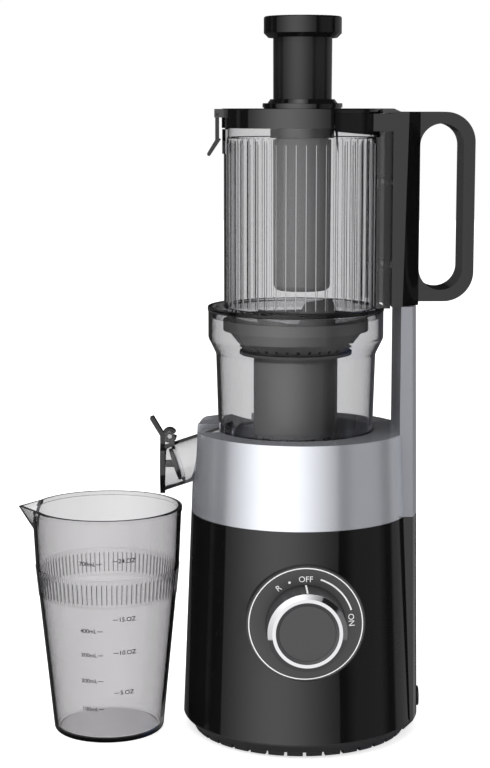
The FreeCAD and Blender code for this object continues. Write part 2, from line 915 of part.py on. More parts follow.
def juice_bowl():
    outside = bowl_outside().cut(rod(bowl_foot_inner, seat_floor_z, bowl_floor_z, bowl_x))
    inside = turned([
        (0, bowl_inside_z + auger_lift),
        (auger_core_low, bowl_inside_z + auger_lift),
        (auger_core_low, bowl_inside_z),
        (bowl_radius(bowl_inside_z) - bowl_wall, bowl_inside_z, 3),
        (bowl_neck_radius - bowl_wall, bowl_neck_z, 6),
        (bowl_top_radius - bowl_wall, bowl_shoulder_z, 5),
        (bowl_top_radius - bowl_wall, bowl_top_z + 1),
        (0, bowl_top_z + 1),
    ], bowl_x)
    length = (bowl_x - bowl_low_radius + 12 - spout_end_x) / math.cos(math.radians(spout_slope)) + 12
    start_x = bowl_x - bowl_low_radius + 12
    beyond = block(spout_end_x - 40, spout_end_x, -40, 40, 100, 300)
    spout = spout_rod(spout_radius, start_x, length).cut(beyond)
    bowl = outside.fuse(spout).fuse(cap_ears()).cut(inside)
    bore = spout_rod(spout_radius - spout_wall, start_x, length + 10)
    seat = spout_rod(spout_radius, spout_seat_x + spout_seat_width, spout_seat_width)
    seat = seat.cut(spout_rod(spout_radius - spout_wall - spout_seat_lip, spout_seat_x + 10, 30))
    bowl = bowl.cut(bore.cut(seat))
    window = block(seat_radius - 20, seat_radius, -chute_half_width + 3, chute_half_width - 3,
                   bowl_inside_z + 1, bowl_inside_z + 1 + pulp_window_height)
    window.translate(Vector(bowl_x, 0, 0))
    bowl = bowl.cut(turn(window, chute_angle, bowl_x))
    bowl = bowl.cut(rod(shaft_radius + bush_wall, bowl_floor_z, bowl_inside_z + auger_lift, bowl_x))
    return bowl.removeSplitter()


def cap_ears():
    """Two ears on the spout that carry the cap's pin."""
    root = spout_point(cap_pin_x).z + spout_radius / 2
    ears = []
    for sign in (-1, 1):
        y0 = sign * (cap_clip_half_width + swing_gap)
        y1 = y0 + sign * cap_ear_thickness
        cheek = cross_rod(cap_ear_radius, cap_pin_x, cap_pin_z, min(y0, y1), max(y0, y1))
        foot = block(cap_pin_x - cap_ear_radius, cap_pin_x + cap_ear_radius, min(y0, y1), max(y0, y1),
                     root, cap_pin_z)
        ears.append(cheek.fuse(foot))
    ears = join(ears)
    ears = ears.cut(spout_rod(spout_radius - spout_wall / 2, cap_pin_x + 20, 50))
    return ears.cut(cross_rod(cap_pin_radius, cap_pin_x, cap_pin_z, -20, 20))


def shaft_seal():
    outer = shaft_radius + bush_wall
    return turned([
        (shaft_radius + turn_gap, bowl_floor_z),
        (outer, bowl_floor_z),
        (outer, bowl_inside_z + auger_lift),
        (shaft_radius + turn_gap, bowl_inside_z + auger_lift),
    ], bowl_x)


def pulp_seal():
    """Soft frame in the bowl's pulp window."""
    depth = bowl_wall
    half = chute_half_width - 3
    low = bowl_inside_z + 1
    x0 = bowl_radius(low) - depth + 0.3
    frame = block(x0, x0 + depth - 0.6, -half, half, low, low + pulp_window_height)
    hole = block(x0 - 5, x0 + 9, -half + 2, half - 2, low + 2, low + pulp_window_height - 2)
    frame = frame.cut(hole)
    frame.translate(Vector(bowl_x, 0, 0))
    frame = turn(frame, chute_angle, bowl_x)
    shell = rod(bowl_radius(low) - 0.1, low, low + pulp_window_height, bowl_x)
    return frame.common(shell)


def cap_hinge_pin():
    half = cap_clip_half_width + swing_gap + cap_ear_thickness
    return cross_rod(cap_pin_radius, cap_pin_x, cap_pin_z, -half, half)


def spout_cap():
    back_x = spout_end_x
    front_x = back_x - cap_plate_thickness
    middle_z = spout_end_z
    plate = long_rod(cap_plate_radius, front_x, back_x, 0, middle_z)
    half = cap_clip_half_width
    lever = side_on([
        (front_x, cap_pin_z - 6),
        (back_x, cap_pin_z - 6),
        (back_x, cap_pin_z),
        (front_x - cap_lever_reach + cap_lever_thickness, cap_lever_top_z, 0.8),
        (front_x - cap_lever_reach, cap_lever_top_z - 1, 0.8),
        (front_x, cap_pin_z),
    ], -half, half)
    clip = cross_rod(cap_clip_radius, cap_pin_x, cap_pin_z, -half, half)
    web = block(back_x - 1, cap_pin_x, -half, half, cap_pin_z - cap_clip_radius + 1, cap_pin_z + 1)
    whole = join([plate, lever, clip, web])
    whole = whole.cut(cross_rod(cap_pin_radius + turn_gap, cap_pin_x, cap_pin_z, -half, half))
    mouth = side_on([
        (cap_pin_x, cap_pin_z),
        (cap_pin_x + 8, cap_pin_z + 4.5),
        (cap_pin_x + 8, cap_pin_z - 1.5),
    ], -half, half)
    whole = whole.cut(mouth)
    seal_x = spout_seat_x - swing_gap
    stem = long_rod(cap_stem_radius, back_x - 1, spout_seat_x, 0, spout_point(seal_x).z)
    beyond = spout_rod(spout_radius, seal_x + 20, 20 / math.cos(math.radians(spout_slope)) + cap_seal_thickness)
    return join([whole, stem.cut(beyond)])


def cap_seal():
    return spout_rod(cap_seal_radius, spout_seat_x - swing_gap, cap_seal_thickness)


# Strainer

def strainer_basket():
    inner = drum_radius - drum_wall
    basket = turned([
        (inner, bowl_inside_z),
        (drum_radius, bowl_inside_z),
        (drum_radius, drum_top_z),
        (drum_lip_radius, drum_top_z),
        (drum_lip_radius, cone_low_z),
        (cone_low_radius, cone_low_z),
        (cone_top_radius, cone_top_z),
        (basket_rim_radius, cone_top_z),
        (basket_rim_radius, basket_rim_z),
        (basket_rim_radius - drum_wall, basket_rim_z),
        (cone_top_radius - drum_wall, cone_top_z + 1),
        (cone_low_radius - drum_wall, cone_low_z + 1),
        (inner, drum_top_z + 1),
    ], bowl_x)
    low = bowl_inside_z + window_low
    window = block(inner - 2, drum_radius + 2, -window_width / 2, window_width / 2, low, low + window_height)
    window.translate(Vector(bowl_x, 0, 0))
    hole = long_rod(hole_radius, drum_radius - 1, cone_top_radius, 0, cone_low_z + hole_lift)
    hole.translate(Vector(bowl_x, 0, 0))
    cuts = ring_of(window, window_count, bowl_x, 0, 15) + ring_of(hole, hole_count, bowl_x)
    return basket.cut(cuts)


def strainer_mesh():
    outer = drum_radius - drum_wall - snug_gap
    inner = outer - mesh_thickness
    low = bowl_inside_z + window_low - 2
    top = low + window_height + 4
    sleeve = rod(outer, low, top, bowl_x).cut(rod(inner, low, top, bowl_x))
    slot = block(inner - 1, outer + 1, -mesh_slot_width / 2, mesh_slot_width / 2, low + 3, top - 3)
    slot.translate(Vector(bowl_x, 0, 0))
    return sleeve.cut(ring_of(slot, mesh_slot_count, bowl_x))


# Auger

def auger_flight():
    """Screw flight swept along a helix, thick at the core and thin at the rim."""
    low = hex_low_z() + auger_foot
    height = auger_pitch * auger_turns
    inner = auger_core_top - 2
    helix = Part.makeLongHelix(auger_pitch, height, inner)
    section = Part.Wire([
        Part.LineSegment(Vector(inner, 0, 0), Vector(auger_radius, 0, (flight_root - flight_tip) / 2)).toShape(),
        Part.LineSegment(Vector(auger_radius, 0, (flight_root - flight_tip) / 2),
                         Vector(auger_radius, 0, (flight_root + flight_tip) / 2)).toShape(),
        Part.LineSegment(Vector(auger_radius, 0, (flight_root + flight_tip) / 2),
                         Vector(inner, 0, flight_root)).toShape(),
        Part.LineSegment(Vector(inner, 0, flight_root), Vector(inner, 0, 0)).toShape(),
    ])
    flight = Part.Wire(helix).makePipeShell([section], True, True)
    flight.translate(Vector(bowl_x, 0, low))
    return flight


def blade_radius(z):
    """Reach of a cutting blade: the flight's at its foot, widest at the strainer's cone."""
    if z <= cone_low_z:
        return auger_radius
    if z <= blade_waist_low_z:
        share = (z - cone_low_z) / (blade_waist_low_z - cone_low_z)
        return auger_radius + share * (blade_waist_radius - auger_radius)
    if z <= blade_waist_top_z:
        return blade_waist_radius
    share = (z - blade_waist_top_z) / (blade_top_z - blade_waist_top_z)
    return blade_waist_radius + share * (blade_top_radius - blade_waist_radius)


def cutting_blade(angle, drop):
    """Twisted fin over the flight that reaches up into the hopper; drop lowers its top."""
    half = blade_thickness / 2
    height = blade_top_z - blade_low_z()
    bars = []
    for step in range(blade_steps + 1):
        share = step / blade_steps
        z = blade_low_z() + share * height
        radius = blade_radius(z)
        corners = [Vector(0, -half, z), Vector(radius, -half, z), Vector(radius, half, z), Vector(0, half, z)]
        wire = Part.makePolygon(corners + corners[:1])
        wire.rotate(Vector(0, 0, 0), Vector(0, 0, 1), share * blade_twist)
        bars.append(wire)
    blade = join([Part.makeLoft([low, high], True, True) for low, high in zip(bars, bars[1:])])
    top = blade_top_z - drop
    shoulder = top - blade_slant
    above = side_on([
        (-blade_waist_radius, blade_top_z + 1),
        (-blade_waist_radius, shoulder - blade_root_drop),
        (0, shoulder - blade_root_drop),
        (blade_shoulder_radius, shoulder),
        (blade_top_radius, top),
        (blade_waist_radius, top),
        (blade_waist_radius, blade_top_z + 1),
    ], -blade_waist_radius, blade_waist_radius)
    blade = blade.cut(turn(above, blade_twist))
    blade.translate(Vector(bowl_x, 0, 0))
    return turn(blade, angle, bowl_x)


def blade_low_z():
    return hex_low_z() + auger_foot + auger_pitch * auger_turns


def auger():
    low = hex_low_z()
    core = turned([
        (0, low),
        (auger_core_low, low),
        (auger_core_top, blade_low_z()),
        (auger_core_top - 2, core_top_z - 4, 3),
        (0, core_top_z),
    ], bowl_x)
    blades = [cutting_blade(blade_first, 0), cutting_blade(blade_first + 180, second_blade_drop)]
    whole = join([core, auger_flight()] + blades)
    return whole.cut(auger_socket_space())


def auger_socket_space():
    low = hex_low_z()
    return rod(hex_width / 2 + 3, low, low + hex_depth + 2, bowl_x)


def auger_insert():
    low = hex_low_z()
    sleeve = rod(hex_width / 2 + 3, low, low + hex_depth + 2, bowl_x)
    return sleeve.cut(hexagon(hex_width, low, low + hex_depth))


# Hopper with its rim band, hub and handle

def funnel(inset, low_z, top_z):
    """Leaning cone from the throat over the strainer to the hopper's own axis."""
    throat = Part.Wire(Part.makeCircle(hopper_throat_radius + hopper_wall - inset, Vector(bowl_x, 0, low_z)))
    mouth = Part.Wire(Part.makeCircle(hopper_radius - inset, Vector(hopper_x, 0, top_z)))
    return Part.makeLoft([throat, mouth], True, True)


def hopper():
    spigot_outer = bowl_top_radius - bowl_wall - lift_gap
    tube = turned([
        (0, bowl_top_z),
        (hopper_radius, bowl_top_z),
        (hopper_radius, hopper_neck_z),
        (hopper_neck_radius, hopper_neck_z + 0.8),
        (hopper_neck_radius, hopper_top_z),
        (0, hopper_top_z),
    ], hopper_x)
    throat_top_z = hopper_throat_z + hopper_throat_height
    throat = rod(hopper_throat_radius + hopper_wall, hopper_throat_z, throat_top_z, bowl_x)
    outside = join([tube, throat, funnel(0, throat_top_z, bowl_top_z)])
    inside = join([
        rod(hopper_throat_radius, hopper_throat_z, throat_top_z + 2, bowl_x),
        funnel(hopper_wall, throat_top_z + 2, hopper_flange_top_z),
        rod(hopper_inner_radius, hopper_flange_top_z, hopper_top_z + 1, hopper_x),
    ])
    flange = turned([
        (0, bowl_top_z),
        (hopper_flange_radius, bowl_top_z, 0.6),
        (hopper_flange_radius, hopper_flange_top_z, 0.8),
        (0, hopper_flange_top_z),
    ], bowl_x)
    spigot_low = bowl_top_z - hopper_spigot_depth
    spigot = rod(spigot_outer, spigot_low, bowl_top_z, bowl_x).cut(
        rod(spigot_outer - hopper_spigot_wall, spigot_low, bowl_top_z, bowl_x))
    whole = join([outside, flange, spigot, mount_block(), latch_catch()]).cut(inside)
    flute = block(hopper_radius - flute_depth, hopper_radius + 2, -flute_width / 2, flute_width / 2,
                  hopper_flange_top_z + 1.5, hopper_neck_z - 1.5)
    flute.translate(Vector(hopper_x, 0, 0))
    angles = [flute_pitch * i for i in range(int(360 / flute_pitch))]
    flutes = [turn(flute, a, hopper_x) for a in angles if flute_first <= a <= 360 - flute_first]
    screw_holes = [long_rod(screw_radius + snug_gap, hub_inner_x - block_wall, hub_inner_x, y, z)
                   for y, z in hub_screw_places()]
    return whole.cut(flutes + screw_holes)


def hub_screw_places():
    return [(sign * hub_screw_y, z) for sign in (-1, 1) for z in (hub_screw_low_z, hub_screw_top_z)]


def mount_block():
    """Clear back plate and two webs that carry the hub."""
    low = hopper_flange_top_z
    back = block(hub_inner_x - block_wall, hub_inner_x, -block_half_width, block_half_width, low, hopper_top_z)
    webs = [block(hopper_x, hub_inner_x, min(y, y + s * block_wall), max(y, y + s * block_wall), low, hopper_top_z)
            for s, y in ((1, -block_half_width), (-1, block_half_width))]
    shape = back.fuse(webs)
    shape = shape.cut(rod(hopper_radius - hopper_wall / 2, low, hopper_top_z, hopper_x))
    relief = rod(band_radius + swing_gap, hopper_neck_z + 1, hopper_top_z + 1, hopper_x)
    return shape.cut(relief)


def latch_catch():
    """Raised strip on the hopper behind the lid's latch."""
    outer = hopper_radius + catch_thickness
    strip = rod(outer, catch_low_z, catch_top_z, hopper_x).cut(
        rod(hopper_neck_radius - 1, catch_low_z, catch_top_z, hopper_x))
    half = outer * math.sin(math.radians(catch_half_angle))
    return strip.common(block(hopper_x - outer - 1, hopper_x, -half, half, catch_low_z, catch_top_z))


def rim_band():
    """Band clipped round the handle side of the hopper's neck, with a snap tooth at each end."""
    inner = hopper_neck_radius + 0.1
    band = rod(band_radius, band_low_side_z, hopper_top_z, hopper_x)
    band = band.cut(rod(inner, band_low_side_z, hopper_top_z, hopper_x))
    keep = side_on([
        (band_start_x, band_low_front_z),
        (hopper_x + band_radius + 1, band_low_side_z),
        (hopper_x + band_radius + 1, hopper_top_z),
        (band_start_x, hopper_top_z),
    ], -60, 60)
    band = band.common(keep)
    tooth_ring = rod(band_radius, tooth_low_z, hopper_top_z, hopper_x).cut(
        rod(hopper_radius + 0.1, tooth_low_z, hopper_top_z, hopper_x))
    tooth = side_on([
        (band_start_x, band_low_front_z + 2),
        (band_start_x + tooth_width, tooth_low_z),
        (band_start_x + tooth_width, band_low_front_z + 2),
    ], -60, 60)
    wings = [block(hub_inner_x - 14, hub_inner_x, min(y, y + s * wing_width), max(y, y + s * wing_width),
                   band_low_front_z, hopper_top_z) for s, y in ((1, -column_half_width), (-1, column_half_width))]
    wings = join(wings).cut(rod(inner, band_low_side_z, hopper_top_z, hopper_x))
    return join([band, tooth_ring.common(tooth), wings])


def hub_outline(corner_x, z, inset=0.0):
    half = column_half_width - inset
    side = hub_side_x - inset
    inner = hub_inner_x + inset
    corners = [Vector(inner, -half, z), Vector(corner_x - inset / 2, -half, z),
               Vector(side, -grip_half_width + inset / 2, z), Vector(side, grip_half_width - inset / 2, z),
               Vector(corner_x - inset / 2, half, z), Vector(inner, half, z)]
    return Part.makePolygon(corners + corners[:1])


def hub():
    outside = Part.makeLoft([hub_outline(hub_corner_low_x, mast_top_z), hub_outline(hub_corner_top_x, hub_top_z)],
                            True, True)
    hollow_top = lid_pin_z - knuckle_radius - 2 * hub_wall
    inside = Part.makeLoft([hub_outline(hub_corner_low_x, mast_top_z + hub_wall, hub_wall),
                            hub_outline(hub_corner_low_x, hollow_top, hub_wall)], True, True)
    mouth = block(hub_inner_x - 1, hub_inner_x + hub_wall + 1, -hub_screw_y + 5, hub_screw_y - 5,
                  mast_top_z + 4 * hub_wall, hollow_top - hub_wall)
    whole = outside.cut(inside.fuse(mouth))
    margin = mast_wall + lift_gap
    spigot = column(mast_inner_x + margin, mast_top_z - spigot_depth, mast_top_z, margin)
    whole = whole.fuse(spigot)
    slot = block(hub_inner_x - 1, lid_pin_x + knuckle_radius + 1.5, -knuckle_half_width - swing_gap,
                 knuckle_half_width + swing_gap, lid_pin_z - knuckle_radius - 1, hub_top_z + 1)
    pin_reach = lid_pin_half_length + swing_gap
    pin_low = cross_rod(lid_pin_radius + turn_gap, lid_pin_x, lid_pin_z, -pin_reach, pin_reach)
    pin_slot = block(lid_pin_x - lid_pin_radius - turn_gap, lid_pin_x + lid_pin_radius + turn_gap,
                     -pin_reach, pin_reach, lid_pin_z, hub_top_z + 1)
    screw_holes = [long_rod(screw_radius + snug_gap, hub_inner_x, hub_inner_x + hub_wall + 1, y, z)
                   for y, z in hub_screw_places()]
    magnet_hole = rod(magnet_radius, mast_top_z - spigot_depth, mast_top_z - spigot_depth + magnet_height,
                      magnet_x())
    return whole.cut([slot, pin_low, pin_slot, magnet_hole] + screw_holes)


def magnet_x():
    return mast_inner_x + mast_wall + lift_gap + magnet_radius + 0.6


def hub_screws():
    screws = []
    for y, z in hub_screw_places():
        one = screw(block_wall + hub_wall, head_up=True)
        one.rotate(Vector(0, 0, 0), Vector(0, 1, 0), -90)
        one.translate(Vector(hub_inner_x - block_wall, y, z))
        screws.append(one)
    return group(screws)


def safety_magnet():
    low = mast_top_z - spigot_depth
    return rod(magnet_radius, low, low + magnet_height, magnet_x())


def reed_sensor():
    """Sensor on a shelf of the mast, just under the magnet."""
    top = mast_top_z - spigot_depth - 2
    x0 = mast_inner_x + mast_wall
    return block(x0, x0 + sensor_size / 2, -sensor_size, sensor_size, top - sensor_size, top)


def handle_grip():
    top = grip_low_z + (hub_top_z - grip_low_z)
    outline = side_on([
        (hub_side_x, grip_low_z),
        (grip_outer_x, grip_low_z, grip_corner_radius),
        (grip_outer_x, top, grip_corner_radius),
        (hub_side_x, top),
    ], -grip_half_width, grip_half_width)
    inner_x = grip_outer_x - grip_band
    width = inner_x - hub_side_x
    radius = width / 2 - 0.01
    opening = side_on([
        (hub_side_x - 0.001, grip_low_z + grip_band, radius),
        (inner_x, grip_low_z + grip_band, radius),
        (inner_x, top - grip_band, radius),
        (hub_side_x - 0.001, top - grip_band, radius),
    ], -grip_half_width - 1, grip_half_width + 1)
    return outline.cut(opening)


# Lid, latch and pusher

def lid():
    outer_tube = tube_bore_radius + tube_wall
    plate = turned([
        (tube_bore_radius, tube_low_z),
        (outer_tube, tube_low_z),
        (outer_tube, lid_low_z),
        (lid_radius, lid_low_z),
        (lid_radius, lid_top_z, 0.8),
        (collar_disc_radius - 0.8, lid_top_z),
        (collar_disc_radius - 0.8, collar_disc_low_z),
        (collar_disc_radius, collar_disc_low_z),
        (collar_disc_radius, collar_disc_low_z + collar_disc_height, 0.6),
        (outer_tube + 2, collar_disc_low_z + collar_disc_height),
        (outer_tube, tube_lip_z, 0.4),
        (tube_bore_radius, tube_lip_z),
    ], hopper_x)
    skirt = rod(lid_radius, lid_skirt_z, lid_low_z, hopper_x)
    skirt = skirt.cut(rod(lid_radius - lid_skirt_wall, lid_skirt_z, lid_low_z, hopper_x))
    skirt = skirt.common(block(-lid_radius - 10, lid_skirt_end_x, -60, 60, lid_skirt_z, lid_low_z))
    half = knuckle_half_width
    arm = side_on([
        (hopper_x + lid_radius - 4, lid_low_z),
        (hub_inner_x + 1.2, lid_low_z),
        (lid_pin_x - knuckle_radius, lid_pin_z),
        (lid_pin_x, lid_pin_z + knuckle_radius),
        (lid_pin_x - 2, lid_pin_z + knuckle_radius + 1.5),
        (hub_inner_x + 2.5, lid_top_z),
        (hopper_x + lid_radius - 4, lid_top_z),
    ], -half, half)
    knuckle = cross_rod(knuckle_radius, lid_pin_x, lid_pin_z, -half, half)
    whole = join([plate, skirt, arm, knuckle])
    whole = whole.cut(cross_rod(lid_pin_radius + turn_gap, lid_pin_x, lid_pin_z, -half, half))
    return whole.fuse(latch_ears()).removeSplitter()


def latch_ears():
    """Two small ears on the lid's edge that hold the latch pin."""
    ears = []
    for sign in (-1, 1):
        y0 = sign * (latch_half_width + swing_gap)
        y1 = y0 + sign * 1.8
        ears.append(block(latch_x - 1.9, hopper_x - lid_radius + 4, min(y0, y1), max(y0, y1),
                          latch_pin_z - 2.0, lid_top_z - 0.3))
    ears = join(ears).cut(rod(lid_radius - lid_skirt_wall / 2, latch_pin_z - 5, lid_low_z, hopper_x))
    return ears.cut(cross_rod(latch_pin_radius, latch_x, latch_pin_z, -20, 20))


def lid_latch():
    half = latch_half_width
    inner = latch_x + latch_thickness / 2
    outer = latch_x - latch_thickness / 2
    arm = side_on([
        (inner, latch_pin_z),
        (inner, latch_knee_z + latch_lip),
        (inner + latch_lip, latch_knee_z + latch_lip / 2),
        (inner, latch_knee_z - latch_lip),
        (latch_tip_x + latch_thickness, latch_tip_z, 1),
        (latch_tip_x, latch_tip_z, 1),
        (outer, latch_knee_z, 2),
        (outer, latch_pin_z),
    ], -half, half)
    eye = cross_rod(latch_thickness * 0.75, latch_x, latch_pin_z, -half, half)
    whole = join([arm, eye])
    return whole.cut(cross_rod(latch_pin_radius + turn_gap, latch_x, latch_pin_z, -half, half))


def latch_pin():
    half = latch_half_width + swing_gap + 1.8
    return cross_rod(latch_pin_radius, latch_x, latch_pin_z, -half, half)


def lid_hinge_pin():
    return cross_rod(lid_pin_radius, lid_pin_x, lid_pin_z, -lid_pin_half_length, lid_pin_half_length)


def pusher_tube():
    return turned([
        (0, pusher_low_z),
        (pusher_low_radius, pusher_low_z, 4),
        (pusher_radius, pusher_cap_z),
        (pusher_radius - pusher_wall, pusher_cap_z),
        (pusher_low_radius - pusher_wall, pusher_low_z + pusher_wall, 2),
        (0, pusher_low_z + pusher_wall),
    ], hopper_x)


def pusher_cap():
    plug = pusher_radius - pusher_wall - snug_gap
    return turned([
        (0, pusher_cap_z + 2),
        (plug - 2, pusher_cap_z + 2),
        (plug - 2, pusher_cap_z - pusher_plug_depth),
        (plug, pusher_cap_z - pusher_plug_depth),
        (plug, pusher_cap_z),
        (pusher_cap_radius - pusher_cap_bevel, pusher_cap_z),
        (pusher_cap_radius, pusher_cap_z + pusher_cap_bevel),
        (pusher_cap_radius, pusher_cap_top_z - 0.8, 1.5),
        (0, pusher_cap_top_z),
    ], hopper_x)


# Measuring cup

def cup_radius(z):
    if z <= cup_band_top_z:
        return cup_low_radius + z * (cup_band_top_radius - cup_low_radius) / cup_band_top_z
    share = (z - cup_band_top_z) / (cup_top_z - cup_band_top_z)
    return cup_band_top_radius + share * (cup_rim_radius - cup_band_top_radius)


def cup_solid(inset, z0, z1):
    """Tapered solid of the cup, or of its inside when inset by the wall."""
    points = [(0, z0), (cup_radius(z0) - inset, z0, 3), (cup_band_top_radius - inset, cup_band_top_z),
              (cup_rim_radius - inset, cup_top_z)]
    if z1 > cup_top_z:
        points.append((cup_rim_radius - inset, z1))
    points.append((0, z1))
    return turned(points, cup_x, cup_y)


def lip_solid(inset, top):
    """Pouring lip that grows out of the wall towards -X."""
    def triangle(reach, half, z):
        root = -cup_radius(z) + 6
        corners = [Vector(root, -half, z), Vector(-reach, 0, z), Vector(root, half, z)]
        wire = Part.makePolygon(corners + corners[:1])
        wire.translate(Vector(cup_x, cup_y, 0))
        return wire

    low = triangle(cup_radius(lip_low_z) - 1 - inset, 3, lip_low_z)
    high = triangle(lip_reach - inset * 1.4, lip_half_width + 4 - inset * 1.2, cup_top_z)
    lip = Part.makeLoft([low, high], True, True)
    if top > cup_top_z:
        lip = lip.fuse(Part.Face(high).extrude(Vector(0, 0, top - cup_top_z)))
    return lip


def juice_cup():
    outside = cup_solid(0, 0, cup_top_z)
    bead_low = cup_top_z - cup_bead_height
    bead = turned([
        (cup_radius(bead_low) - 1, bead_low),
        (cup_radius(bead_low) + cup_bead_proud, bead_low, 0.3),
        (cup_rim_radius + cup_bead_proud, cup_top_z, 0.5),
        (cup_rim_radius - 1, cup_top_z),
    ], cup_x, cup_y)
    band = turned([
        (cup_radius(cup_band_low_z) - 1, cup_band_low_z),
        (cup_radius(cup_band_low_z) + cup_band_proud / 2, cup_band_low_z),
        (cup_radius(cup_band_top_z) + cup_band_proud / 2, cup_band_top_z),
        (cup_radius(cup_band_top_z) - 1, cup_band_top_z),
    ], cup_x, cup_y)
    whole = outside.fuse([bead, band, lip_solid(0, cup_top_z)])
    whole = whole.cut(cup_solid(cup_wall, cup_floor, cup_top_z + 1))
    whole = whole.cut(lip_solid(cup_wall, cup_top_z + 1))
    return whole.cut(cup_grooves()).removeSplitter()


def cup_grooves():
    """Cuts that leave the ribs of the grip band."""
    low = cup_band_low_z + 1
    top = cup_band_top_z - 1
    pitch = 2 * math.pi * cup_radius(low) / cup_rib_count
    width = pitch - cup_rib_width
    low_in = cup_radius(low)
    top_in = cup_radius(top)
    sketch = [(low_in, low), (low_in + 3, low), (top_in + 3, top), (top_in, top)]
    groove = side_on(sketch, -width / 2, width / 2)
    groove.translate(Vector(cup_x, cup_y, 0))
    return ring_of(groove, cup_rib_count, cup_x, cup_y)


pieces = [
    base_housing, base_plate, rubber_feet, housing_screws, cord_gland,
    collar, pulp_chute, mast, reed_sensor,
    dial_plate, knob_body, knob_bezel, knob_face, knob_spindle, rotary_switch,
    motor_can, motor_rotor, motor_shaft, motor_screws, gearbox_housing, gearbox_lid, gearbox_screws,
    shaft_bush, idler_pin, idler_gear, drive_gear, drive_shaft, control_board,
    juice_bowl, shaft_seal, pulp_seal, cap_hinge_pin, spout_cap, cap_seal,
    strainer_basket, strainer_mesh, auger, auger_insert,
    hopper, rim_band, hub, hub_screws, safety_magnet, handle_grip,
    lid, lid_hinge_pin, lid_latch, latch_pin, pusher_tube, pusher_cap,
    juice_cup,
]

def space_middle():
    """Middle of the ground that the juicer and its cup take up, seen from above."""
    left = cup_x - lip_reach
    right = grip_outer_x
    front = dial_face_y - knob_dial_gap - knob_height
    back = body_low_radius
    return Vector((left + right) / 2, (front + back) / 2, 0)


for piece in pieces:
    shape = piece()
    if shape.Volume < 0:
        shape.reverse()
    shape.translate(space_middle() * -1)
    name = piece.__name__
    shape.exportStep("parts/" + name + ".step")
    box = shape.BoundBox
    print(name, "solids", len(shape.Solids), "valid", shape.isValid(), "volume", round(shape.Volume),
          "x", round(box.XMin, 1), round(box.XMax, 1), "y", round(box.YMin, 1), round(box.YMax, 1),
          "z", round(box.ZMin, 1), round(box.ZMax, 1))
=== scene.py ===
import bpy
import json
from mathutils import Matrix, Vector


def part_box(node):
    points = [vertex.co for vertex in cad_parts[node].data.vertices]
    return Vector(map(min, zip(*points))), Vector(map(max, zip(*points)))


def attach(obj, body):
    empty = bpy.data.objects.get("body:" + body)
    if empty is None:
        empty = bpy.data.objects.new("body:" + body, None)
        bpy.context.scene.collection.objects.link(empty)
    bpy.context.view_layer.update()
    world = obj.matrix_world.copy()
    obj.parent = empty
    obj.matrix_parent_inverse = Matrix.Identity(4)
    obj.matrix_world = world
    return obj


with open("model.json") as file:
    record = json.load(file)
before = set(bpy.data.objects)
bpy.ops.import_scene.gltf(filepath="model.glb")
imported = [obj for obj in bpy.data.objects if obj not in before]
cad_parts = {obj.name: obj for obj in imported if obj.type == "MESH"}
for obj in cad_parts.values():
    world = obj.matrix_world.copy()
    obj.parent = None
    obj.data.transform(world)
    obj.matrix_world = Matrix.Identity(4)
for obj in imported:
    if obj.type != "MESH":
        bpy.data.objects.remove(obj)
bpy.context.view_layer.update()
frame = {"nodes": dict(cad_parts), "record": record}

import json
import math
import bmesh
import bpy
from mathutils import Matrix, Vector
from mathutils.bvhtree import BVHTree

scene = bpy.context.scene
nodes = frame["nodes"]
scene.view_settings.view_transform = "Standard"

# The vertical axis of the round base, midway between its feet
feet_low, feet_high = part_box("rubber_feet")
BASE_AXIS = Vector(((feet_low.x + feet_high.x) / 2, (feet_low.y + feet_high.y) / 2, 0))

# Camera, as in the photograph: metres from the base axis, angles in degrees, lens in millimetres
CAMERA_AT = BASE_AXIS + Vector((-0.0694, -1.2987, 0.4383))
CAMERA_TURN = 1.35
CAMERA_PITCH = 8.43
CAMERA_LENS = 87.9
CAMERA_SENSOR = 36.0
CAMERA_NEAR = 0.01


def make_camera():
    data = bpy.data.cameras.new("camera")
    data.lens = CAMERA_LENS
    data.sensor_width = CAMERA_SENSOR
    data.clip_start = CAMERA_NEAR
    cam = bpy.data.objects.new("camera", data)
    cam.location = CAMERA_AT
    cam.rotation_euler = (math.radians(90 - CAMERA_PITCH), 0, math.radians(-CAMERA_TURN))
    scene.collection.objects.link(cam)
    scene.camera = cam


# Small node-tree helpers

FAR = 5.0  # past any direction or place that a band is asked about


def new_tree(name):
    mat = bpy.data.materials.new(name)
    mat.use_nodes = True
    tree = mat.node_tree
    tree.nodes.clear()
    out = tree.nodes.new("ShaderNodeOutputMaterial")
    return mat, tree, out


def math_node(tree, operation, *values):
    """One step of arithmetic on sockets and numbers."""
    node = tree.nodes.new("ShaderNodeMath")
    node.operation = operation
    for socket, value in zip(node.inputs, values):
        if isinstance(value, (int, float)):
            socket.default_value = value
        else:
            tree.links.new(value, socket)
    return node.outputs[0]


def band(tree, value, low, high, soft):
    """1 between low and high, with soft edges."""
    rise = math_node(tree, "DIVIDE", math_node(tree, "SUBTRACT", value, low), soft)
    fall = math_node(tree, "DIVIDE", math_node(tree, "SUBTRACT", high, value), soft)
    both = math_node(tree, "ADD", math_node(tree, "MINIMUM", rise, fall), 0.5)
    clamp = tree.nodes.new("ShaderNodeClamp")
    tree.links.new(both, clamp.inputs[0])
    return clamp.outputs[0]


def hill(tree, value, peak, spread):
    """A smooth hill, 1 at its peak."""
    away = math_node(tree, "DIVIDE", math_node(tree, "SUBTRACT", value, peak), spread)
    squared = math_node(tree, "MULTIPLY", away, away)
    return math_node(tree, "EXPONENT", math_node(tree, "MULTIPLY", squared, -1.0))


def mix_shaders(tree, factor, off, on):
    node = tree.nodes.new("ShaderNodeMixShader")
    for socket, value in zip(node.inputs, (factor, off, on)):
        tree.links.new(value, socket)
    return node.outputs[0]


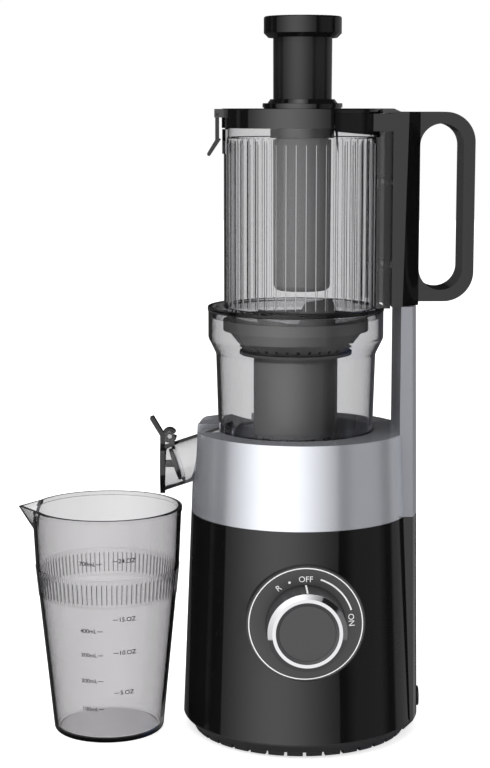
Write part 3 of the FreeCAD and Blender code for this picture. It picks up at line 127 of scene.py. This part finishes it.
def mix_color(tree, factor, off, on):
    """The colour off, or the fixed colour on where the factor is 1."""
    node = tree.nodes.new("ShaderNodeMix")
    node.data_type = "RGBA"
    tree.links.new(factor, node.inputs["Factor"])
    tree.links.new(off, node.inputs["A"])
    node.inputs["B"].default_value = on
    return node.outputs["Result"]


# Studio panels, seen only in reflections and through clear plastic. Azimuths are in degrees:
# 0 is the camera's side and positive is to the right. Each panel has its two edges, the softness
# of its edges and its level.
MAIN_PANEL = (-86.0, 37.5, 1.2, 1.4)
MAIN_PEAK = -25.0
MAIN_SPREAD = 48.0
LEFT_STRIP = (-110.0, -103.0, 3.0, 0.1)
FAR_LEFT = (-180.0, -145.0, 10.0, 0.05)
RIGHT_PANEL = (50.0, 92.0, 12.0, 0.15)
FAR_RIGHT = (108.0, 160.0, 5.0, 0.2)
RIGHT_TOP = 0.3
RIGHT_TOP_EDGE = 0.1
STUDIO_FILL = 0.015
# Heights of directions, from -1 straight down to 1 straight up
FLOOR_CUT = -0.42
FLOOR_EDGE = 0.03
FLOOR_LEVEL = 0.075
# A faint blue panel low on the right, added to what the other panels give
BLUE_PANEL = (82.0, 112.0, 10.0)
BLUE_HEIGHT = (-0.78, -0.42, 0.1)
BLUE_SHARES = (("Red", 0.03), ("Green", 0.08), ("Blue", 0.26))
# White behind clear plastic: at the back, above, on the near side, and the least anywhere
WHITE_LEVEL = 0.93
SIDE_START = 0.35
SIDE_EDGE = 0.5
TOP_START = 0.6
TOP_EDGE = 0.3
TOP_SHARE = 0.6
NEAR_SHARE = 0.55
LEAST_SHARE = 0.13
# Even light on matt surfaces
AMBIENT = 0.8


def panel(tree, azimuth, low, high, soft, level):
    return math_node(tree, "MULTIPLY", band(tree, azimuth, low, high, soft), level)


def reflected_panels(tree, azimuth, height):
    """Brightness of the studio as glossy surfaces see it."""
    slope = hill(tree, azimuth, MAIN_PEAK, MAIN_SPREAD)
    main = math_node(tree, "MULTIPLY", panel(tree, azimuth, *MAIN_PANEL), slope)
    total = math_node(tree, "ADD", main, STUDIO_FILL)
    for strip in (LEFT_STRIP, FAR_LEFT):
        total = math_node(tree, "ADD", total, panel(tree, azimuth, *strip))
    right = math_node(tree, "ADD", panel(tree, azimuth, *RIGHT_PANEL), panel(tree, azimuth, *FAR_RIGHT))
    low = band(tree, height, -FAR, RIGHT_TOP, RIGHT_TOP_EDGE)
    total = math_node(tree, "ADD", total, math_node(tree, "MULTIPLY", right, low))
    total = math_node(tree, "MULTIPLY", total, band(tree, height, FLOOR_CUT, FAR, FLOOR_EDGE))
    below = band(tree, height, -FAR, FLOOR_CUT, FLOOR_EDGE)
    return math_node(tree, "MULTIPLY_ADD", below, FLOOR_LEVEL, total)


def white_around(tree, y, z):
    """Share of white that clear plastic shows in each direction."""
    back = band(tree, y, SIDE_START, FAR, SIDE_EDGE)
    top = math_node(tree, "MULTIPLY", band(tree, z, TOP_START, FAR, TOP_EDGE), TOP_SHARE)
    near = math_node(tree, "MULTIPLY", band(tree, y, -FAR, -SIDE_START, SIDE_EDGE), NEAR_SHARE)
    for share in (top, near, LEAST_SHARE):
        back = math_node(tree, "MAXIMUM", back, share)
    return back


def make_world():
    """White for the camera, even light for matt surfaces, and the panels for gloss and glass."""
    world = bpy.data.worlds.new("studio")
    scene.world = world
    world.use_nodes = True
    tree = world.node_tree
    tree.nodes.clear()
    out = tree.nodes.new("ShaderNodeOutputWorld")
    place = tree.nodes.new("ShaderNodeTexCoord")
    split = tree.nodes.new("ShaderNodeSeparateXYZ")
    tree.links.new(place.outputs["Generated"], split.inputs[0])
    x, y, z = split.outputs
    front = math_node(tree, "MULTIPLY", y, -1.0)
    azimuth = math_node(tree, "MULTIPLY", math_node(tree, "ARCTAN2", x, front), math.degrees(1))
    glossy = reflected_panels(tree, azimuth, z)
    clear = math_node(tree, "MULTIPLY_ADD", white_around(tree, y, z), WHITE_LEVEL, glossy)
    blue = math_node(tree, "MULTIPLY", band(tree, azimuth, *BLUE_PANEL), band(tree, z, *BLUE_HEIGHT))

    def even(strength):
        node = tree.nodes.new("ShaderNodeBackground")
        node.inputs["Color"].default_value = (1, 1, 1, 1)
        node.inputs["Strength"].default_value = strength
        return node.outputs[0]

    def tinted(value):
        node = tree.nodes.new("ShaderNodeBackground")
        color = tree.nodes.new("ShaderNodeCombineColor")
        for channel, share in BLUE_SHARES:
            tree.links.new(math_node(tree, "MULTIPLY_ADD", blue, share, value), color.inputs[channel])
        tree.links.new(color.outputs[0], node.inputs["Color"])
        return node.outputs[0]

    rays = tree.nodes.new("ShaderNodeLightPath").outputs
    shader = mix_shaders(tree, rays["Is Glossy Ray"], even(AMBIENT), tinted(glossy))
    shader = mix_shaders(tree, rays["Is Transmission Ray"], shader, tinted(clear))
    shader = mix_shaders(tree, rays["Is Camera Ray"], shader, even(1.0))
    tree.links.new(shader, out.inputs[0])


# Lamp above and before the object, left out of reflections
LAMP_AT = (-0.5, -0.6, 1.6)
LAMP_TOWARDS = (0, 0, 0.25)
LAMP_SIZE = (1.2, 1.2)
LAMP_POWER = 14.0


def make_lamp():
    data = bpy.data.lights.new("top_lamp", "AREA")
    data.shape = "RECTANGLE"
    data.size, data.size_y = LAMP_SIZE
    data.energy = LAMP_POWER
    lamp = bpy.data.objects.new("top_lamp", data)
    lamp.location = LAMP_AT
    lamp.rotation_euler = (Vector(LAMP_TOWARDS) - Vector(LAMP_AT)).to_track_quat("-Z", "Y").to_euler()
    lamp.visible_glossy = False
    lamp.visible_camera = False
    lamp.visible_transmission = False
    scene.collection.objects.link(lamp)


# Floor: white, with a faint shadow, and left out of reflections
FLOOR_HALF = 6.0
FLOOR_DROP = 0.0005
FLOOR_WHITE = (0.9, 0.9, 0.9, 1)
FLOOR_GLOW = 0.62


def make_floor():
    mesh = bpy.data.meshes.new("floor")
    corners = [(-1, -1), (1, -1), (1, 1), (-1, 1)]
    mesh.from_pydata([(x * FLOOR_HALF, y * FLOOR_HALF, 0) for x, y in corners], [], [(0, 1, 2, 3)])
    floor = bpy.data.objects.new("floor", mesh)
    floor.location.z = -FLOOR_DROP
    scene.collection.objects.link(floor)
    mat, tree, out = new_tree("floor_white")
    diffuse = tree.nodes.new("ShaderNodeBsdfDiffuse")
    diffuse.inputs["Color"].default_value = FLOOR_WHITE
    glow = tree.nodes.new("ShaderNodeEmission")
    glow.inputs["Strength"].default_value = FLOOR_GLOW
    both = tree.nodes.new("ShaderNodeAddShader")
    tree.links.new(diffuse.outputs[0], both.inputs[0])
    tree.links.new(glow.outputs[0], both.inputs[1])
    clear = tree.nodes.new("ShaderNodeBsdfTransparent")
    rays = tree.nodes.new("ShaderNodeLightPath").outputs
    tree.links.new(mix_shaders(tree, rays["Is Glossy Ray"], both.outputs[0], clear.outputs[0]), out.inputs[0])
    mesh.materials.append(mat)


# Materials

COAT_ROUGHNESS = 0.03
MOTTLE_SCALE = 60.0
MOTTLE_DETAIL = 3.0
GRAIN_SCALE = 900.0
GRAIN_DEPTH = 0.0002
CLEAR_IOR = 1.46
CLEAR_MOTTLE_SCALE = 12.0
CLEAR_MOTTLE = 0.985
SMOKE_COLOR = (0.5, 0.49, 0.5, 1)
SHADE_EDGE = 0.001
FROST = (0.15, 0.15, 0.15, 1)
# painted shade: the dark colour given to the clear block between hopper and hub
BLOCK_PAINTED_SHADE = (0.05, 0.05, 0.05, 1)
FROST_BELOW_LID = 0.004
PUSHER_FROST_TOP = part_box("lid")[1].z - FROST_BELOW_LID
# Where the clear block between hopper and hub starts, along X; the painted shade on the hopper begins there
BLOCK_OFFSET_X = 0.0553
HOPPER_PAINTED_SHADE_START = BASE_AXIS.x + BLOCK_OFFSET_X


def mottle(tree, scale, low, high):
    """A colour that drifts between two, the place that it is read from, and its noise node."""
    place = tree.nodes.new("ShaderNodeTexCoord").outputs["Object"]
    noise = tree.nodes.new("ShaderNodeTexNoise")
    noise.inputs["Scale"].default_value = scale
    tree.links.new(place, noise.inputs["Vector"])
    ramp = tree.nodes.new("ShaderNodeValToRGB")
    ramp.color_ramp.elements[0].color = (*low, 1)
    ramp.color_ramp.elements[1].color = (*high, 1)
    tree.links.new(noise.outputs["Fac"], ramp.inputs["Fac"])
    return ramp.outputs["Color"], place, noise


def plastic(name, color, roughness, grain=0.0, coat=0.0, metallic=0.0, spread=0.02, frost_top=None):
    """Mottled plastic, paint or metal, with a fine grain, and paler below a height, where asked for."""
    mat, tree, out = new_tree(name)
    shader = tree.nodes.new("ShaderNodeBsdfPrincipled")
    shader.inputs["Roughness"].default_value = roughness
    shader.inputs["Metallic"].default_value = metallic
    shader.inputs["Coat Weight"].default_value = coat
    shader.inputs["Coat Roughness"].default_value = COAT_ROUGHNESS
    low = [max(0.0, c * (1 - spread)) for c in color]
    high = [min(1.0, c * (1 + spread)) for c in color]
    base, place, noise = mottle(tree, MOTTLE_SCALE, low, high)
    noise.inputs["Detail"].default_value = MOTTLE_DETAIL
    if frost_top is not None:
        split = tree.nodes.new("ShaderNodeSeparateXYZ")
        tree.links.new(place, split.inputs[0])
        base = mix_color(tree, band(tree, split.outputs[2], -FAR, frost_top, SHADE_EDGE), base, FROST)
    tree.links.new(base, shader.inputs["Base Color"])
    if grain:
        fine = tree.nodes.new("ShaderNodeTexNoise")
        fine.inputs["Scale"].default_value = GRAIN_SCALE
        tree.links.new(place, fine.inputs["Vector"])
        bump = tree.nodes.new("ShaderNodeBump")
        bump.inputs["Strength"].default_value = grain
        bump.inputs["Distance"].default_value = GRAIN_DEPTH
        tree.links.new(fine.outputs["Fac"], bump.inputs["Height"])
        tree.links.new(bump.outputs["Normal"], shader.inputs["Normal"])
    tree.links.new(shader.outputs[0], out.inputs[0])
    return mat


def clear_plastic(name, tint, smoke, painted_shade_from=None):
    """Clear tinted plastic, darker where the view passes along a wall, and darkened by painted shade beyond
    the place along X that its last argument gives.

    Shadows, matt surfaces and reflections see through it unbent.
    """
    mat, tree, out = new_tree(name)
    shader = tree.nodes.new("ShaderNodeBsdfPrincipled")
    shader.inputs["Transmission Weight"].default_value = 1.0
    shader.inputs["Roughness"].default_value = 0.0
    shader.inputs["IOR"].default_value = CLEAR_IOR
    color, place, _ = mottle(tree, CLEAR_MOTTLE_SCALE, [c * CLEAR_MOTTLE for c in tint], tint)
    if painted_shade_from is not None:
        split = tree.nodes.new("ShaderNodeSeparateXYZ")
        tree.links.new(place, split.inputs[0])
        # painted shade on the clear plastic beyond a place along X
        color = mix_color(tree, band(tree, split.outputs[0], painted_shade_from, FAR, SHADE_EDGE), color, BLOCK_PAINTED_SHADE)
    tree.links.new(color, shader.inputs["Base Color"])
    absorb = tree.nodes.new("ShaderNodeVolumeAbsorption")
    absorb.inputs["Color"].default_value = SMOKE_COLOR
    absorb.inputs["Density"].default_value = smoke
    tree.links.new(absorb.outputs[0], out.inputs["Volume"])
    clear = tree.nodes.new("ShaderNodeBsdfTransparent")
    clear.inputs["Color"].default_value = (*tint, 1)
    rays = tree.nodes.new("ShaderNodeLightPath").outputs
    # a refracted ray counts as glossy too, so it is taken off
    mirrored = math_node(tree, "SUBTRACT", rays["Is Glossy Ray"], rays["Is Transmission Ray"])
    unbent = math_node(tree, "MAXIMUM", rays["Is Shadow Ray"], mirrored)
    unbent = math_node(tree, "MAXIMUM", unbent, rays["Is Diffuse Ray"])
    tree.links.new(mix_shaders(tree, unbent, shader.outputs[0], clear.outputs[0]), out.inputs["Surface"])
    return mat


SOLID_LOOKS = {
    "black_gloss": dict(color=(0.004, 0.004, 0.0042), roughness=0.05, coat=0.3),
    "black_matte": dict(color=(0.02, 0.02, 0.021), roughness=0.45, grain=0.3),
    "dial_dark": dict(color=(0.05, 0.05, 0.052), roughness=0.35, grain=0.15),
    "dark_plastic": dict(color=(0.085, 0.085, 0.085), roughness=0.25, grain=0.1),
    "silver_plastic": dict(color=(0.84, 0.86, 0.92), roughness=0.22, metallic=0.82, grain=0.05),
    "pusher_two_tone": dict(color=(0.012, 0.012, 0.012), roughness=0.12, frost_top=PUSHER_FROST_TOP),
    "mast_paint": dict(color=(0.24, 0.245, 0.27), roughness=0.35, metallic=0.2, grain=0.05),
    "lid_gloss": dict(color=(0.004, 0.004, 0.0042), roughness=0.05, coat=1.0),
    # light grey for painted highlights: strips in the hopper where its moulding catches the light
    "flute_painted_highlight": dict(color=(0.6, 0.6, 0.6), roughness=0.5),
    "print_white": dict(color=(0.9, 0.9, 0.9), roughness=0.4),
    # dark grey for the cup's print, and for painted shade in the grooves of its grip band
    "print_and_shade_grey": dict(color=(0.02, 0.02, 0.021), roughness=0.5),
    "white_plastic": dict(color=(0.8, 0.8, 0.77), roughness=0.4),
    "board": dict(color=(0.03, 0.16, 0.07), roughness=0.5, spread=0.2),
    "chrome": dict(color=(0.85, 0.85, 0.87), roughness=0.06, metallic=1.0),
    "steel": dict(color=(0.5, 0.5, 0.5), roughness=0.3, metallic=1.0, grain=0.2),
    "brass": dict(color=(0.6, 0.42, 0.18), roughness=0.35, metallic=1.0),
    "rubber": dict(color=(0.02, 0.02, 0.02), roughness=0.6, grain=0.4),
}
CLEAR_LOOKS = {
    "clear_plastic": dict(tint=(0.86, 0.86, 0.865), smoke=50.0),
    "hopper_plastic": dict(tint=(0.87, 0.87, 0.875), smoke=60.0, painted_shade_from=HOPPER_PAINTED_SHADE_START),
    "cup_plastic": dict(tint=(0.995, 0.99, 0.995), smoke=200.0),
}
MATERIALS = {name: plastic(name, **look) for name, look in SOLID_LOOKS.items()}
MATERIALS.update({name: clear_plastic(name, **look) for name, look in CLEAR_LOOKS.items()})

# Nodes that look different from the rest of their slot
OWN_LOOK = {
    "hopper": "hopper_plastic",
    "mast": "mast_paint",
    "lid": "lid_gloss",
    "pusher_tube": "pusher_two_tone",
}
SMOOTH_ANGLE = 24


def dress_nodes():
    slots = {entry["node"]: entry["material_slot"] for entry in frame["record"]["subparts"]}
    for name, node in nodes.items():
        node.data.materials.clear()
        node.data.materials.append(MATERIALS[OWN_LOOK.get(name, slots[name])])
        for polygon in node.data.polygons:
            polygon.use_smooth = True
        bpy.context.view_layer.objects.active = node
        node.select_set(True)
        bpy.ops.object.shade_smooth_by_angle(angle=math.radians(SMOOTH_ANGLE))
        node.select_set(False)


# Meshes for printed letters and lines

PRINT_DEPTH = 0.00012
CAPITAL_SHARE = 0.72  # of the font's size
LETTER_STEPS = 5
ARC_STEPS = 180  # in a full turn
ARC_LEAST_STEPS = 8
DASH_STEPS = 8


def finish_piece(mesh, name, body, material):
    piece = bpy.data.objects.new(name, mesh)
    scene.collection.objects.link(piece)
    mesh.materials.clear()
    mesh.materials.append(MATERIALS[material])
    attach(piece, body)


def end_mesh(bm, name):
    bmesh.ops.recalc_face_normals(bm, faces=bm.faces)
    mesh = bpy.data.meshes.new(name)
    bm.to_mesh(mesh)
    bm.free()
    return mesh


def join_rings(bm, rings, closed=False):
    """Walls between rings of four corners, with two ends unless the rings close up."""
    for i in range(len(rings) if closed else len(rings) - 1):
        a, b = rings[i], rings[(i + 1) % len(rings)]
        for k in range(4):
            bm.faces.new((a[k], a[(k + 1) % 4], b[(k + 1) % 4], b[k]))
    if not closed:
        bm.faces.new(reversed(rings[0]))
        bm.faces.new(rings[-1])


def letters_mesh(text, cap_height, weight=0.0):
    """Flat letters in the XY plane, centred, with their real thickness."""
    curve = bpy.data.curves.new("letters", "FONT")
    curve.body = text
    curve.align_x = "CENTER"
    curve.align_y = "CENTER"
    curve.size = cap_height / CAPITAL_SHARE
    curve.extrude = PRINT_DEPTH / 2
    curve.offset = weight
    curve.resolution_u = LETTER_STEPS
    holder = bpy.data.objects.new("letters", curve)
    mesh = bpy.data.meshes.new_from_object(holder)
    bpy.data.objects.remove(holder)
    return mesh


def arc_mesh(radius, width, start, end):
    """A flat strip in the XY plane along an arc, clockwise from +Y, in degrees."""
    bm = bmesh.new()
    closed = end - start >= 360
    count = max(ARC_LEAST_STEPS, round(ARC_STEPS * (end - start) / 360))
    rings = []
    for i in range(count if closed else count + 1):
        angle = math.radians(start + (end - start) * i / count)
        out = Vector((math.sin(angle), math.cos(angle), 0))
        ring = []
        for side, lift in ((-1, -1), (1, -1), (1, 1), (-1, 1)):
            at = out * (radius + side * width / 2)
            at.z = lift * PRINT_DEPTH / 2
            ring.append(bm.verts.new(at))
        rings.append(ring)
    join_rings(bm, rings, closed)
    return end_mesh(bm, "arc")


def dash_mesh(length, width):
    """A short line along X, cut into steps so that it can bend round a wall."""
    bm = bmesh.new()
    bmesh.ops.create_grid(bm, x_segments=DASH_STEPS, y_segments=1, size=0.5)
    bmesh.ops.scale(bm, vec=(length, width, 1), verts=bm.verts)
    made = bmesh.ops.extrude_face_region(bm, geom=list(bm.faces))
    top = [item for item in made["geom"] if isinstance(item, bmesh.types.BMVert)]
    bmesh.ops.translate(bm, vec=(0, 0, PRINT_DEPTH), verts=top)
    bmesh.ops.translate(bm, vec=(0, 0, -PRINT_DEPTH / 2), verts=bm.verts)
    return end_mesh(bm, "dash")


def mesh_width(mesh):
    xs = [vertex.co.x for vertex in mesh.vertices]
    return max(xs) - min(xs)


def surface(name):
    """A CAD node's surface, for rays to hit."""
    mesh = nodes[name].data
    return BVHTree.FromPolygons([v.co for v in mesh.vertices], [p.vertices[:] for p in mesh.polygons])


# Dial printing: radii and sizes in metres, angles in degrees clockwise from the top

DIAL_RING_RADIUS = 0.0382
DIAL_RING_WIDTH = 0.0007
WORD_RADIUS = 0.0306
WORD_HEIGHT = 0.0040
REVERSE_ANGLE = -36.5
DOT_ANGLE = -21.0
DOT_SIZE = 0.0017
ON_ANGLE = 85.0
ON_ARC = (18.0, 72.5)
ON_ARC_RADIUS = 0.0320
ON_ARC_WIDTH = 0.0011
GAP_RADIUS = 0.0268
GAP_WIDTH = 0.0007


def on_front(mesh, centre, angle=0.0, radius=0.0):
    """Turns a flat mesh to face the front, at a place on a dial."""
    turn = math.radians(angle)
    across = Vector((math.cos(turn), 0, -math.sin(turn)))
    up = Vector((math.sin(turn), 0, math.cos(turn)))
    facing = Vector((0, -1, 0))
    place = Matrix((across, up, facing)).transposed().to_4x4()
    place.translation = centre + up * radius
    mesh.transform(place)
    return mesh


def print_dial():
    low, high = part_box("dial_plate")
    centre = Vector(((low.x + high.x) / 2, low.y - PRINT_DEPTH / 2, (low.z + high.z) / 2))
    words = (("off", "OFF", 0.0), ("reverse", "R", REVERSE_ANGLE), ("on", "ON", ON_ANGLE))
    for name, text, angle in words:
        mesh = on_front(letters_mesh(text, WORD_HEIGHT), centre, angle, WORD_RADIUS)
        finish_piece(mesh, "dial_word_" + name, "base", "print_white")
    ring = on_front(arc_mesh(DIAL_RING_RADIUS, DIAL_RING_WIDTH, 0, 360), centre)
    finish_piece(ring, "dial_ring", "base", "print_white")
    arc = on_front(arc_mesh(ON_ARC_RADIUS, ON_ARC_WIDTH, *ON_ARC), centre)
    finish_piece(arc, "dial_on_arc", "base", "print_white")
    dot = on_front(arc_mesh(DOT_SIZE / 4, DOT_SIZE / 2, 0, 360), centre, DOT_ANGLE, WORD_RADIUS)
    finish_piece(dot, "dial_dot", "base", "print_white")
    gap = on_front(arc_mesh(GAP_RADIUS, GAP_WIDTH, 0, 360), centre)
    finish_piece(gap, "dial_gap_line", "base", "rubber")


# Pointer line on the knob

POINTER_WIDTH = 0.0011
POINTER_END_GAP = 0.0004
POINTER_START_ABOVE = 0.01


def print_pointer():
    """A white line along the top of the knob drum."""
    drum = surface("knob_body")
    low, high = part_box("knob_body")
    middle = (low.x + high.x) / 2
    start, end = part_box("knob_bezel")[1].y, high.y - POINTER_END_GAP
    mesh = dash_mesh(end - start, POINTER_WIDTH)
    for vertex in mesh.vertices:
        across, along = vertex.co.y, vertex.co.x
        above = Vector((middle + across, (start + end) / 2 + along, high.z + POINTER_START_ABOVE))
        hit = drum.ray_cast(above, Vector((0, 0, -1)))[0]
        vertex.co = hit + Vector((0, 0, vertex.co.z + PRINT_DEPTH / 2))
    finish_piece(mesh, "knob_pointer_line", "knob", "print_white")


# Cup printing: heights above the table in metres, places across from the cup's axis

CUP_OFFSET_X = -0.1359  # from the base axis
CUP_MARKS = (
    ("100mL", 0.0254), ("200mL", 0.0461), ("300mL", 0.0650), ("400mL", 0.0825), ("700mL", 0.1306),
)
CUP_OUNCES = (("5.OZ", 0.0374), ("10.OZ", 0.0667), ("15.OZ", 0.0908), ("24.OZ", 0.1326))
MARK_HEIGHT = 0.0029
OUNCE_HEIGHT = 0.0031
MARK_WEIGHT = 0.00006
LEFT_DASH_X = -0.0016
RIGHT_DASH_X = 0.0056
DASH_LENGTH = 0.0036
DASH_WIDTH = 0.00045
WORD_GAP = 0.0006
BEFORE_CUP = -1.0  # where rays towards its front start, along Y


def wrap_on_wall(mesh, wall, x, z):
    """Lays a flat mesh on the front of a wall: its depth becomes height above the surface."""
    for vertex in mesh.vertices:
        start = Vector((x + vertex.co.x, BEFORE_CUP, z + vertex.co.y))
        hit, normal, _, _ = wall.ray_cast(start, Vector((0, 1, 0)))
        vertex.co = hit + normal * (vertex.co.z + PRINT_DEPTH / 2)
    return mesh


def print_cup():
    """Words on the cup, each with a dash: millilitres left of their dashes, ounces right of theirs."""
    wall = surface("juice_cup")
    middle = BASE_AXIS.x + CUP_OFFSET_X
    scales = ((CUP_MARKS, MARK_HEIGHT, LEFT_DASH_X, -1), (CUP_OUNCES, OUNCE_HEIGHT, RIGHT_DASH_X, 1))
    for marks, height, dash_start, side in scales:
        for text, z in marks:
            name = text.replace(".", "_")
            dash_x = middle + dash_start + side * DASH_LENGTH / 2
            word = letters_mesh(text, height, MARK_WEIGHT)
            word_x = dash_x + side * (DASH_LENGTH / 2 + WORD_GAP + mesh_width(word) / 2)
            wrap_on_wall(word, wall, word_x, z)
            finish_piece(word, "cup_mark_" + name, "cup", "print_and_shade_grey")
            dash = wrap_on_wall(dash_mesh(DASH_LENGTH, DASH_WIDTH), wall, dash_x, z)
            finish_piece(dash, "cup_dash_" + name, "cup", "print_and_shade_grey")


# Painted highlights in the hopper and painted shade on the cup's grip band, as fine upright strips: angles in
# degrees, sizes in metres.
# The rays that find a wall start at a distance from its axis.

HOPPER_OFFSET_X = 0.0006  # from the base axis
FLUTE_PITCH = 7.5
FLUTE_HALF_SPAN = 120.0  # each side of the front
FLUTE_HIGHLIGHT_WIDTH = 0.0005
FLUTE_FLOOR_GAP = 0.0045
FLUTE_LID_GAP = 0.004
FLUTE_SKIN = 0.00025
FLUTE_RAY_START = 0.03
RIB_COUNT = 90
RIB_SHADE_WIDTH = 0.0005
RIB_LOW, RIB_HIGH = 0.1015, 0.1155
RIB_RAY_START = 0.2


def strips_mesh(name, axis, angles, heights, width, radii):
    """Upright strips round an axis. radii gives a strip's two radii at a place, or None where no wall is."""
    bm = bmesh.new()
    for angle in angles:
        out = Vector((math.cos(angle), math.sin(angle), 0))
        side = Vector((-out.y, out.x, 0))
        starts = [axis + Vector((0, 0, z)) for z in heights]
        found = [radii(start, out) for start in starts]
        if None in found:
            continue
        rings = []
        for start, (first, second) in zip(starts, found):
            places = ((-1, first), (1, first), (1, second), (-1, second))
            rings.append([bm.verts.new(start + out * radius + side * across * width / 2)
                          for across, radius in places])
        join_rings(bm, rings)
    return end_mesh(bm, name)


def flute_painted_highlights():
    """Painted highlights: light strips just inside the hopper wall, at the pitch of its flutes, standing for
    light caught in the moulding.

    They go on beside the hub, where the wall has no flutes.
    """
    wall = surface("hopper")

    def radii(start, out):
        hit = wall.ray_cast(start + out * FLUTE_RAY_START, out)[0]
        if hit is None:
            return None
        radius = (hit - start).dot(out) - FLUTE_SKIN
        return radius, radius - FLUTE_HIGHLIGHT_WIDTH

    count = int(2 * FLUTE_HALF_SPAN / FLUTE_PITCH)
    angles = [math.radians(-90.0 - FLUTE_HALF_SPAN + i * FLUTE_PITCH) for i in range(count + 1)]
    heights = (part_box("juice_bowl")[1].z + FLUTE_FLOOR_GAP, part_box("lid")[0].z - FLUTE_LID_GAP)
    axis = BASE_AXIS + Vector((HOPPER_OFFSET_X, 0, 0))
    mesh = strips_mesh("flute_painted_highlights", axis, angles, heights, FLUTE_HIGHLIGHT_WIDTH, radii)
    # the strips are painted highlights
    finish_piece(mesh, "hopper_flute_painted_highlights", "hopper_set", "flute_painted_highlight")


def rib_painted_shade():
    """Painted shade: dark strips in the grooves of the cup's grip band, as thin as print, where the shade
    falls.
    """
    wall = surface("juice_cup")

    def radii(start, out):
        hit = wall.ray_cast(start + out * RIB_RAY_START, -out)[0]
        if hit is None:
            return None
        radius = (hit - start).dot(out)
        return radius, radius + PRINT_DEPTH

    low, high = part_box("juice_cup")
    axis = Vector((BASE_AXIS.x + CUP_OFFSET_X, (low.y + high.y) / 2, 0))
    angles = [2 * math.pi * i / RIB_COUNT for i in range(RIB_COUNT)]
    mesh = strips_mesh("rib_painted_shade", axis, angles, (RIB_LOW, RIB_HIGH), RIB_SHADE_WIDTH, radii)
    # the strips are painted shade
    finish_piece(mesh, "cup_rib_painted_shade", "cup", "print_and_shade_grey")


make_camera()
make_world()
make_lamp()
make_floor()
dress_nodes()
print_dial()
print_pointer()
print_cup()
flute_painted_highlights()
rib_painted_shade()
